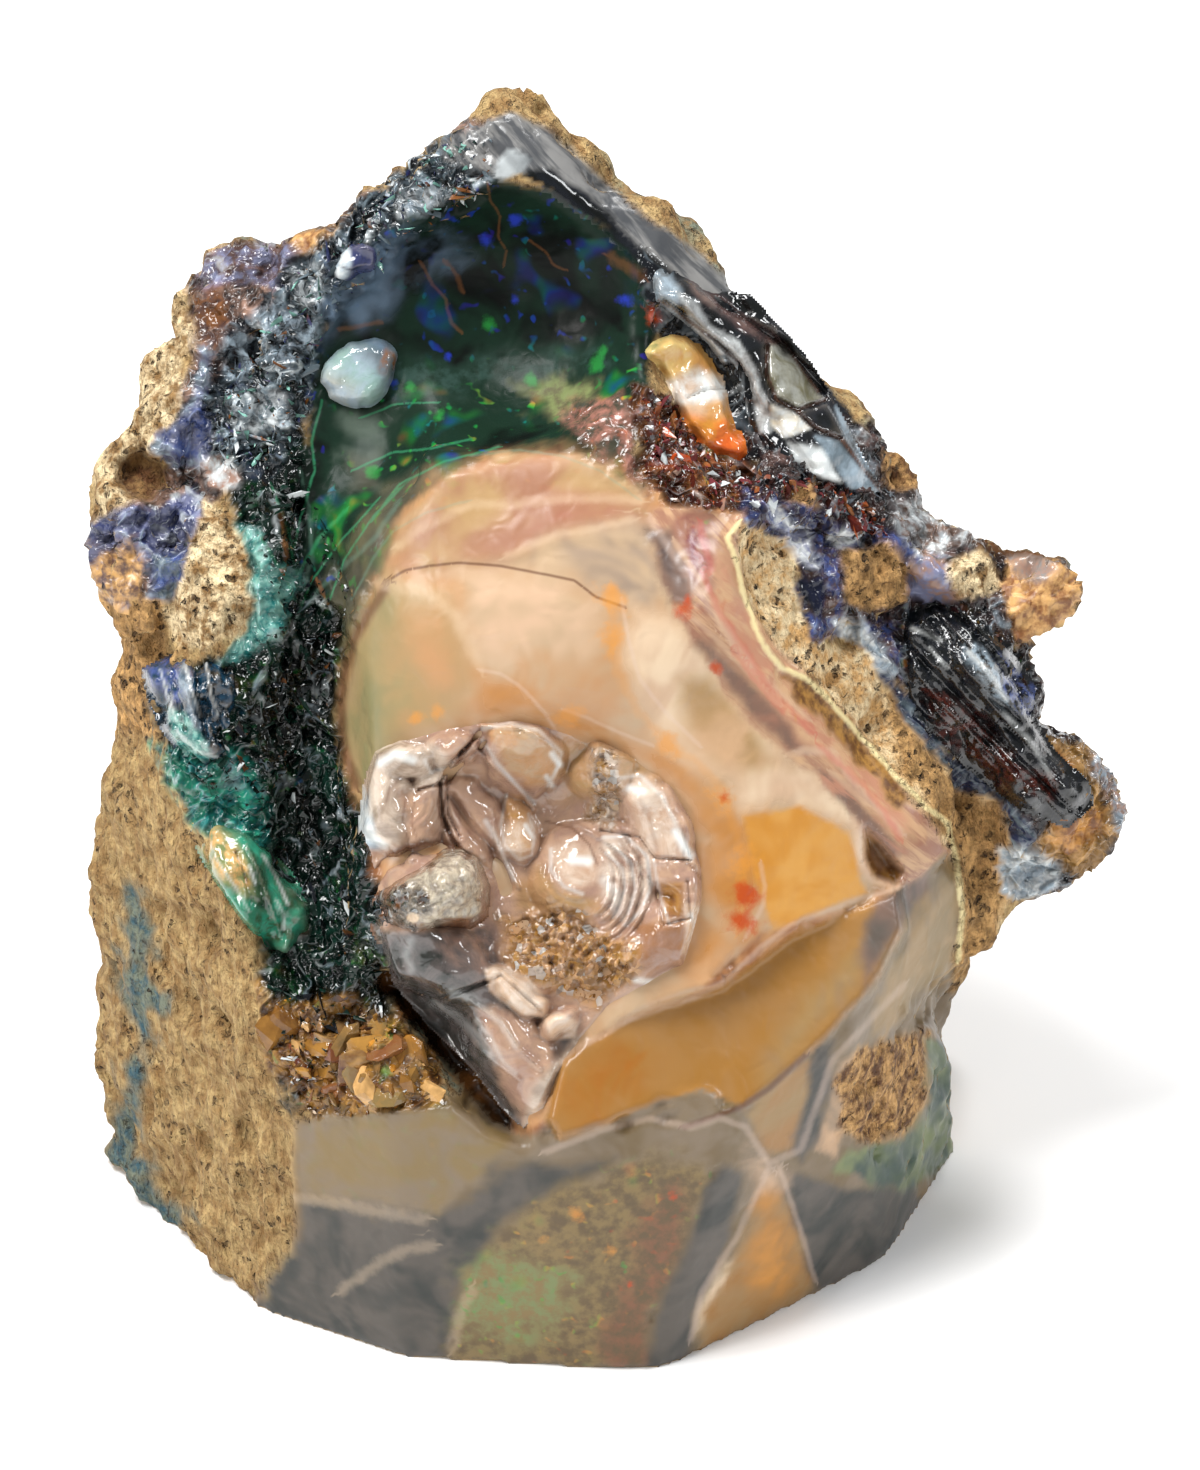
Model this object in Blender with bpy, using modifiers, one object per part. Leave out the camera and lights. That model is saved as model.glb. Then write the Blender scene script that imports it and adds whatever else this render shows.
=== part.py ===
"""Wood opal, a hand specimen: one natural solid of opal grown through silicified wood.

The tables below are in millimetres and the mesh is in metres. +X is to the right of the
opal face, +Y goes to the back of the stone and +Z is up. The stone stands on its ground base.
"""

import math

import bmesh
import bpy
import numpy as np
from mathutils import Euler, Matrix, Vector, noise

MM = 0.001
NAME = "wood_opal"
VOXEL = 0.75
TRIANGLES = 11400
SINK = 4.0

# The opal face leans back, so its relief is drawn on a sheet that leans with it. The eye looks
# through the sheet's middle, square to it, and outlines on the sheet are in millimetres.
SHEET_LEAN = math.radians(32.0)
SHEET_MIDDLE = np.array([-1.0, 0.0, 36.0])
EYE_DISTANCE = 340.0
SHEET_RIGHT = np.array([1.0, 0.0, 0.0])
SHEET_UP = np.array([0.0, math.sin(SHEET_LEAN), math.cos(SHEET_LEAN)])
SHEET_IN = np.array([0.0, math.cos(SHEET_LEAN), -math.sin(SHEET_LEAN)])

# Corners of the rough block, from the ground up. Their hull is the stone before it broke and grew.
GROUND = [
    (-34.6, -1.0, 0), (-29.9, -9.0, 0), (-24.0, -16.5, 0), (-14.5, -21.4, 0), (2.4, -23.0, 0),
    (6.1, -20.4, 0), (18.7, -10.6, 0), (23.6, 0.5, 0), (24.0, 13.0, 0), (14.0, 23.0, 0),
    (-6.0, 26.0, 0), (-24.0, 21.0, 0), (-33.5, 10.0, 0),
]
SHOULDER = [
    (-22.0, -17.8, 17.0), (-14.1, -22.2, 19.6), (-6.5, -23.4, 19.4), (7.5, -21.4, 20.0),
    (15.6, -15.5, 22.5), (23.0, -4.0, 27.0), (-26.6, -12.5, 33.0), (-35.4, 1.0, 24.0),
    (25.0, 14.0, 30.0), (13.0, 25.0, 28.0), (-8.0, 28.0, 30.0), (-27.0, 22.0, 28.0),
]
FACE = [
    (-4.0, -13.0, 47.0), (-14.0, -11.5, 44.0), (4.5, -11.0, 46.0), (-11.0, -6.0, 57.0),
    (2.0, -6.5, 55.0), (9.5, -5.5, 53.0), (16.0, -6.0, 40.0),
]
CREST = [
    (-32.2, -2.0, 44.5), (-34.2, 3.0, 49.5), (-32.6, 6.0, 54.5), (-29.6, 8.5, 60.0),
    (-25.0, 10.5, 66.0), (-17.5, 9.0, 69.5), (-11.3, 9.0, 75.5), (-6.5, 9.0, 77.5),
    (-1.0, 9.5, 73.8), (5.5, 8.5, 68.0), (14.0, 7.0, 58.6), (20.0, 6.5, 51.4), (24.0, 4.0, 44.0),
    (-6.0, 15.0, 74.0), (-19.0, 19.0, 64.0), (4.0, 19.0, 62.0), (-30.0, 18.0, 50.0),
    (18.0, 18.0, 46.0), (-10.0, 24.0, 52.0),
]

# Each egg is (name, centre, half sizes, turn in degrees about X, Y and Z).
HOLLOWS = [
    ("dark_bowl", (-8.0, 0.2, 67.4), (11.0, 9.0, 9.0), (-32, 0, 0)),
    ("dark_bowl_left", (-17.0, 0.4, 62.0), (6.0, 6.0, 8.0), (-32, 0, 0)),
    ("flute_bowl", (6.6, 0.2, 61.8), (3.8, 5.4, 8.0), (-32, -28, 0)),
    ("heart_bowl", (-4.6, -20.0, 38.8), (11.4, 8.0, 9.8), (-32, 0, 0)),
    ("gully_high", (-20.0, -7.6, 53.0), (4.4, 6.0, 11.0), (-32, -8, 0)),
    ("gully_low", (-20.2, -14.6, 37.6), (4.2, 6.4, 15.0), (-32, 6, 0)),
    ("gully_foot", (-15.0, -22.6, 27.6), (7.6, 5.0, 5.0), (-32, 32, 0)),
    ("side_gap", (33.6, -8.0, 14.5), (8.5, 14.0, 9.0), (0, 0, 0)),
    ("right_step", (21.0, -12.4, 42.4), (5.2, 6.4, 15.0), (-32, -32, 0)),
]
LUMPS = [
    ("crown", (-6.6, 11.6, 74.6), (3.0, 3.0, 3.2), (0, 0, 20)),
    ("crown_left", (-11.6, 11.4, 71.6), (4.0, 3.4, 2.6), (0, -35, 0)),
    ("crown_right", (-2.0, 11.6, 71.4), (3.0, 3.0, 2.4), (0, 0, 0)),
    ("crest_bead_high", (5.0, 11.0, 65.4), (3.0, 3.2, 2.8), (0, 40, 0)),
    ("crest_bead_low", (15.0, 9.4, 54.4), (3.0, 3.2, 2.6), (0, 40, 0)),
    ("crest_bead_end", (19.0, 8.6, 50.4), (2.6, 3.0, 2.2), (0, 0, 0)),
    ("left_brow", (-23.6, 11.2, 62.0), (5.0, 5.0, 4.4), (0, 0, 0)),
    ("left_cheek", (-28.4, 7.8, 56.0), (4.0, 5.0, 5.0), (0, 0, 0)),
    ("left_socket", (-30.6, 4.6, 51.0), (3.8, 5.0, 4.2), (0, 0, 0)),
    ("left_jaw", (-31.2, 0.8, 46.6), (3.6, 4.6, 3.8), (0, 0, 0)),
    ("porous_plate", (-26.2, -1.8, 47.6), (3.0, 3.0, 6.0), (-20, -12, 0)),
    ("dome", (-3.8, -4.7, 48.8), (13.6, 7.0, 11.4), (-32, 0, 0)),
    ("matrix_rib_high", (11.4, -0.8, 47.4), (3.0, 3.4, 6.4), (-30, -32, 0)),
    ("matrix_rib_low", (18.4, -2.2, 36.0), (3.2, 4.0, 8.6), (-30, -32, 0)),
    ("matrix_foot", (24.0, 1.6, 24.6), (3.6, 5.0, 7.0), (0, 0, 0)),
    ("pitted_block", (16.6, 2.0, 47.0), (2.6, 3.0, 2.8), (10, 15, 25)),
    ("dark_ridge", (20.0, 5.6, 46.6), (6.6, 4.4, 2.6), (0, 30, 0)),
    ("black_glass_high", (23.0, 3.6, 39.6), (5.2, 4.6, 4.6), (0, 35, 0)),
    ("black_glass_fan", (26.8, 4.6, 36.4), (2.4, 4.0, 3.6), (0, 10, 0)),
    ("black_glass_flutes", (26.8, 2.8, 31.2), (7.0, 4.4, 3.8), (0, 42, 0)),
    ("sherd", (28.0, 4.8, 43.0), (4.4, 3.2, 2.4), (0, -12, 0)),
    ("toe", (31.2, 3.6, 26.6), (3.6, 4.0, 3.4), (0, 20, 0)),
    ("toe_glass", (28.0, 3.0, 23.4), (3.4, 4.0, 2.4), (0, 0, 0)),
    ("low_knuckle", (20.8, 2.0, 5.4), (2.9, 5.6, 4.4), (0, 0, 0)),
]


# Steps pressed into the face: (name, outline on the sheet, depth, width of the soft edge).
# A negative depth raises the area.
STEPS = [
    ("behind_yellow_edge", [
        (9.3, 12.8), (11.1, 14.8), (15.5, 14.5), (20.5, 11.8), (24.2, 9.1), (27.6, -1.7),
        (27.6, -11.1), (23.9, -9.1), (19.9, -4.7), (15.5, -0.7), (12.5, 3.7), (9.8, 8.3),
    ], 1.9, 1.2),
    ("crumb_gully", [
        (-22.7, 20.5), (-18.2, 17.8), (-16.7, 9.1), (-17.8, 2.4), (-17.6, -4.4),
        (-16.7, -11.1), (-14.0, -17.2), (-16.8, -23.6), (-20.5, -21.9), (-22.7, -15.1),
        (-24.8, -9.8), (-26.6, -3.7), (-22.7, 3.0), (-20.7, 11.8),
    ], 1.3, 1.6),
    ("glass_heart", [
        (-16.0, -2.4), (-13.5, 0.0), (-8.1, 0.7), (-2.0, 1.3), (3.4, -0.3), (6.7, -5.7),
        (7.1, -13.1), (5.4, -16.8), (0.0, -19.9), (-4.0, -23.9), (-5.4, -26.6),
        (-9.8, -21.9), (-13.8, -16.8), (-15.5, -11.1),
    ], 1.0, 2.0),
    ("crevice", [
        (-14.5, -16.8), (-13.0, -16.4), (-9.4, -20.2), (-6.1, -23.6), (-4.7, -27.6),
        (-6.9, -27.1), (-10.2, -23.9), (-12.5, -20.7),
    ], 2.6, 0.9),
    ("wood_knob", [
        (-15.1, -11.4), (-14.0, -9.2), (-11.3, -7.6), (-8.6, -8.1), (-7.4, -9.9),
        (-7.8, -12.0), (-10.8, -13.1), (-12.7, -13.9), (-14.5, -13.7),
    ], -2.2, 1.0),
]

# Where the stone is ground or broken smooth. Everything else is rough rind.
SMOOTH_AREAS = [
    [
        (-20.9, -26.2), (-17.2, -24.6), (-14.0, -17.8), (-16.8, -9.8), (-18.2, 1.0),
        (-16.8, 9.1), (-12.1, 15.8), (-2.7, 19.2), (4.0, 15.5), (8.7, 12.8), (12.8, 3.0),
        (23.6, -8.4), (24.6, -11.1), (22.9, -20.5), (24.6, -29.9), (20.2, -35.3),
        (2.7, -44.8), (-14.8, -44.1), (-22.7, -40.0),
    ],
    [
        (-19.0, 22.9), (-17.2, 32.3), (-9.8, 38.4), (-5.7, 41.1), (0.0, 38.7), (6.7, 33.3),
        (15.5, 23.6), (20.5, 15.8), (16.2, 14.5), (8.0, 16.0), (-8.7, 17.8), (-16.2, 15.8),
    ],
]
SMOOTH_EDGE = 1.6

# The rind's relief, each with its size and its height.
SWELL_SIZE, SWELL_HEIGHT, SWELL_FROM, SWELL_OVER = 13.0, 2.4, 6.0, 10.0
GRAIN_SIZE, GRAIN_HEIGHT = 4.2, 0.85
PIT_SPACING, PIT_SIZE, PIT_DEPTH = 5.2, 0.36, 1.3
FIBRE_SIZE, FIBRE_LENGTH, FIBRE_HEIGHT, FIBRE_FROM_X = 2.0, 14.0, 0.5, -22.0
GLASS_RIPPLE_SIZE, GLASS_RIPPLE_HEIGHT = 4.6, 1.5
FACING_FROM, FACING_TO = 0.05, 0.35


def clear_scene():
    """Removes whatever the open file holds."""
    for old in list(bpy.data.objects):
        bpy.data.objects.remove(old, do_unlink=True)


def collection(name):
    """A new collection, linked to the scene."""
    made = bpy.data.collections.new(name)
    bpy.context.scene.collection.children.link(made)
    return made


def object_from(shape, name, home):
    """The bmesh as an object in that collection."""
    mesh = bpy.data.meshes.new(name)
    shape.to_mesh(mesh)
    shape.free()
    made = bpy.data.objects.new(name, mesh)
    home.objects.link(made)
    return made


def rough_block(home):
    """The hull of all the block's corners, carried on below the ground plane for the base cut."""
    shape = bmesh.new()
    sunk = [(x, y, z - SINK) for x, y, z in GROUND]
    for corner in sunk + SHOULDER + FACE + CREST:
        shape.verts.new(Vector(corner) * MM)
    hull = bmesh.ops.convex_hull(shape, input=shape.verts)
    inside = [v for v in hull["geom_interior"] if isinstance(v, bmesh.types.BMVert)]
    bmesh.ops.delete(shape, geom=inside, context="VERTS")
    return object_from(shape, NAME, home)


def egg(name, centre, half_sizes, turn, home):
    """A stretched and turned ball, out of sight: a tool for a Boolean."""
    place = Matrix.LocRotScale(
        Vector(centre) * MM, Euler([math.radians(a) for a in turn]), Vector(half_sizes) * MM
    )
    shape = bmesh.new()
    bmesh.ops.create_icosphere(shape, subdivisions=3, radius=1.0, matrix=place)
    made = object_from(shape, name, home)
    made.hide_render = True
    made.display_type = "WIRE"
    return made


def boolean(target, operation, operands):
    """Joins or cuts the target with every object of a collection."""
    step = target.modifiers.new(operation.title(), "BOOLEAN")
    step.operation = operation
    step.operand_type = "COLLECTION"
    step.collection = operands
    step.solver = "EXACT"


def applied(target):
    """Takes the modifiers' result as the object's own mesh."""
    graph = bpy.context.evaluated_depsgraph_get()
    mesh = bpy.data.meshes.new_from_object(target.evaluated_get(graph))
    target.modifiers.clear()
    target.data = mesh
    mesh.name = target.name


def smoothstep(low, high, value):
    """0 up to low, 1 from high on, and a smooth rise between them."""
    share = np.clip((value - low) / (high - low), 0.0, 1.0)
    return share * share * (3.0 - 2.0 * share)


def on_sheet(points):
    """Where each point is seen on the leaning sheet, in millimetres from its middle."""
    offset = points - SHEET_MIDDLE
    reach = EYE_DISTANCE / (EYE_DISTANCE + offset @ SHEET_IN)
    return np.column_stack([offset @ SHEET_RIGHT * reach, offset @ SHEET_UP * reach])


def depth_inside(spots, outline):
    """How far each spot is inside the outline, and negative outside it."""
    ends = np.array(outline)
    starts = np.roll(ends, 1, axis=0)
    nearest = np.full(len(spots), np.inf)
    inside = np.zeros(len(spots), bool)
    for (x0, y0), (x1, y1) in zip(starts, ends):
        along = np.array([x1 - x0, y1 - y0])
        share = np.clip(((spots - (x0, y0)) @ along) / (along @ along), 0.0, 1.0)
        gap = spots - (x0, y0) - share[:, None] * along
        nearest = np.minimum(nearest, np.hypot(gap[:, 0], gap[:, 1]))
        crosses = (y0 > spots[:, 1]) != (y1 > spots[:, 1])
        if y1 != y0:
            meets = x0 + (spots[:, 1] - y0) * (x1 - x0) / (y1 - y0)
            inside ^= crosses & (spots[:, 0] < meets)
    return np.where(inside, nearest, -nearest)


def fractal(points, size, octaves=4):
    """Even-handed noise with features about that size."""
    return np.array([noise.fractal(Vector(p) / size, 0.9, 2.1, octaves) for p in points])


def pits(points):
    """1 in the middle of scattered round pits, and 0 between them."""
    gaps = np.array([noise.voronoi(Vector(p) / PIT_SPACING)[0][0] for p in points])
    return 1.0 - smoothstep(PIT_SIZE * 0.4, PIT_SIZE, gaps)


def sculpt(stone):
    """Moves the mesh's points: steps and glassy ripples on the face, rough rind elsewhere."""
    mesh = stone.data
    places = np.empty(len(mesh.vertices) * 3)
    mesh.vertices.foreach_get("co", places)
    points = places.reshape(-1, 3) / MM
    outward = np.empty(len(mesh.vertices) * 3)
    mesh.vertices.foreach_get("normal", outward)
    outward = outward.reshape(-1, 3)
    spots = on_sheet(points)
    facing = smoothstep(FACING_FROM, FACING_TO, -(outward @ SHEET_IN))

    def share_of(outline, edge):
        return facing * smoothstep(-edge / 2, edge / 2, depth_inside(spots, outline))

    smooth = np.max([share_of(area, SMOOTH_EDGE) for area in SMOOTH_AREAS], axis=0)
    rind = 1.0 - smooth
    height = rind * GRAIN_HEIGHT * fractal(points, GRAIN_SIZE)
    height -= rind * PIT_DEPTH * pits(points)
    behind = smoothstep(SWELL_FROM, SWELL_FROM + SWELL_OVER, points[:, 1])
    height += behind * SWELL_HEIGHT * fractal(points, SWELL_SIZE, 2)
    stretched = points / (FIBRE_SIZE, FIBRE_SIZE, FIBRE_LENGTH)
    side = rind * (points[:, 0] < FIBRE_FROM_X)
    height += side * FIBRE_HEIGHT * fractal(stretched, 1.0, 3)
    glass = share_of(dict((row[0], row[1]) for row in STEPS)["glass_heart"], 2.0)
    height += glass * GLASS_RIPPLE_HEIGHT * fractal(points, GLASS_RIPPLE_SIZE, 2)
    moved = points + outward * height[:, None]
    for _, outline, depth, edge in STEPS:
        moved += (share_of(outline, edge) * depth)[:, None] * SHEET_IN
    mesh.vertices.foreach_set("co", (moved * MM).ravel())
    mesh.update()


def thin_out(stone):
    """Keeps about TRIANGLES triangles, most of them where the shape turns."""
    stone.data.calc_loop_triangles()
    step = stone.modifiers.new("Decimate", "DECIMATE")
    step.ratio = TRIANGLES / len(stone.data.loop_triangles)


def ground_base(stone):
    """Grinds the underside flat, and puts the origin at the middle of the stone's footprint box."""
    shape = bmesh.new()
    shape.from_mesh(stone.data)
    cut = bmesh.ops.bisect_plane(
        shape, geom=shape.verts[:] + shape.edges[:] + shape.faces[:],
        plane_co=(0, 0, 0), plane_no=(0, 0, 1), clear_inner=True,
    )
    rim = [e for e in cut["geom_cut"] if isinstance(e, bmesh.types.BMEdge)]
    bmesh.ops.holes_fill(shape, edges=rim)
    corners = np.array([v.co for v in shape.verts])
    lowest, highest = corners.min(axis=0), corners.max(axis=0)
    middle = (lowest + highest) / 2
    bmesh.ops.translate(shape, verts=shape.verts, vec=(-middle[0], -middle[1], -lowest[2]))
    bmesh.ops.recalc_face_normals(shape, faces=shape.faces)
    shape.to_mesh(stone.data)
    shape.free()
    print("box in mm", lowest / MM, highest / MM)


def finish_material(stone):
    """Opal brown and waxy overall: the scene gives the stone its real colours."""
    material = bpy.data.materials.new("Wood opal")
    material.use_nodes = True
    shader = material.node_tree.nodes["Principled BSDF"]
    shader.inputs["Base Color"].default_value = (0.42, 0.27, 0.15, 1.0)
    shader.inputs["Roughness"].default_value = 0.35
    shader.inputs["Metallic"].default_value = 0.0
    stone.data.materials.clear()
    stone.data.materials.append(material)


def main():
    clear_scene()
    stone_home = collection("Wood opal")
    tools = collection("Tools")
    stone = rough_block(stone_home)
    hollows = bpy.data.collections.new("Hollows")
    lumps = bpy.data.collections.new("Lumps")
    tools.children.link(hollows)
    tools.children.link(lumps)
    for row in HOLLOWS:
        egg(*row, hollows)
    for row in LUMPS:
        egg(*row, lumps)
    boolean(stone, "DIFFERENCE", hollows)
    boolean(stone, "UNION", lumps)
    remesh = stone.modifiers.new("Remesh", "REMESH")
    remesh.mode = "VOXEL"
    remesh.voxel_size = VOXEL * MM
    applied(stone)
    sculpt(stone)
    thin_out(stone)
    applied(stone)
    ground_base(stone)
    finish_material(stone)


main()
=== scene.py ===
"""Wood opal, finished: rind, opal, glass and crumbs fitted over the stone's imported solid.

Outlines are drawn on a sheet that leans with the opal face. The eye looks through the sheet's
middle, square to it, and a spot on the sheet is (millimetres right, millimetres up).
"""

import math

import bmesh
import bpy
import numpy as np
from bpy.props import FloatProperty, FloatVectorProperty, PointerProperty
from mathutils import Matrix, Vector, noise
from mathutils.bvhtree import BVHTree


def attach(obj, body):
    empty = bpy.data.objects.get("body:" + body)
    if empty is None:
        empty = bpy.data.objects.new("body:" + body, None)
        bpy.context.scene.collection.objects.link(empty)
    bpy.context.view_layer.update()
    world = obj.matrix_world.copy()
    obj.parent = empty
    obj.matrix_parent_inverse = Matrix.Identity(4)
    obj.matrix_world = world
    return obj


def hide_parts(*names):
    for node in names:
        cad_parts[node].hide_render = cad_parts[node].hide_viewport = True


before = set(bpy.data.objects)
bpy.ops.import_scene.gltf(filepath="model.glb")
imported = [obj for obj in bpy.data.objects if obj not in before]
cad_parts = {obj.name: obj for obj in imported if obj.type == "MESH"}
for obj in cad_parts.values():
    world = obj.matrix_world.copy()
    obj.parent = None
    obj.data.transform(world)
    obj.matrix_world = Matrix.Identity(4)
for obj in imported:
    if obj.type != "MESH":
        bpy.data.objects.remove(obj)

bl_info = {
    "name": "Wood Opal Specimen",
    "version": (1, 0, 0),
    "blender": (4, 5, 0),
    "location": "3D View > Sidebar > Wood Opal",
    "description": "Dresses the solid of a wood opal with its rind, opal, glass and crumbs",
    "category": "Object",
}

MM = 0.001
NODE, BODY, SLOT = "wood_opal", "root", "opal"

SHEET_LEAN = math.radians(32.0)
SHEET_MIDDLE = np.array([-0.347, -2.19, 36.0])
EYE_DISTANCE = 340.0
SHEET_RIGHT = np.array([1.0, 0.0, 0.0])
SHEET_UP = np.array([0.0, math.sin(SHEET_LEAN), math.cos(SHEET_LEAN)])
SHEET_IN = np.array([0.0, math.cos(SHEET_LEAN), -math.sin(SHEET_LEAN)])
EYE = SHEET_MIDDLE - EYE_DISTANCE * SHEET_IN
LENS, SENSOR = 123.7, 36.0

# How fast the finer steps of a noise fade, and how much finer each step is.
NOISE_FADE, NOISE_STEP = 0.9, 2.1
# The base is ground flat, and no point up to this height, in millimetres, moves.
GROUND_LEVEL = 0.4
# A surface turned this little towards the eye belongs to the rind, and this much to the face.
FACE_TURN = (0.02, 0.30)
# Paint and lines start where a point faces the eye this much, and spread over this many mm.
PAINT_FROM, PAINT_SPREAD, LINES_FROM = 0.22, 12.0, 0.1
# From this roughness on, the rind's finish is used.
RIND_FROM = 0.6
# What the finishes read: a gap past any line, the widths a line's gap is kept for, and the
# number that stands for no spot.
FAR_OFF, LINE_REACH, NO_SPOT = 99.0, 9.0, -3.0


def linear(code):
    """A colour written as six hexadecimal digits, as linear red, green and blue."""
    shares = [int(code[i : i + 2], 16) / 255 for i in (0, 2, 4)]
    return tuple(s / 12.92 if s <= 0.04045 else ((s + 0.055) / 1.055) ** 2.4 for s in shares)


def path(text):
    """Spots on the sheet, written in tenths of a millimetre as "right,up right,up"."""
    return [tuple(int(number) / 10 for number in spot.split(",")) for spot in text.split()]


def rows_of(text):
    """The rows of a written table. A row has names, numbers and then spots, which become its
    last entry, and a line that starts with a spot goes on with the row above it."""
    rows = []
    for line in text.strip().splitlines():
        words = line.split()
        cells = [word if word[0].isalpha() else float(word) for word in words if "," not in word]
        if cells:
            rows.append((*cells, []))
        rows[-1][-1].extend(path(" ".join(word for word in words if "," in word)))
    return rows


def oval(centre, radii, turn):
    """An oval on the sheet, its first radius turned by that many degrees."""
    cos, sin = math.cos(math.radians(turn)), math.sin(math.radians(turn))
    return [
        (
            centre[0] + radii[0] * math.cos(t) * cos - radii[1] * math.sin(t) * sin,
            centre[1] + radii[0] * math.cos(t) * sin + radii[1] * math.sin(t) * cos,
        )
        for t in np.linspace(0.0, 2.0 * math.pi, 24, endpoint=False)
    ]


def swatch(key, note, code):
    """A colour that the user can change."""
    return FloatVectorProperty(
        name=key.replace("_", " ").capitalize(), description=note, subtype="COLOR", size=3,
        min=0.0, max=1.0, default=linear(code),
    )


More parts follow.
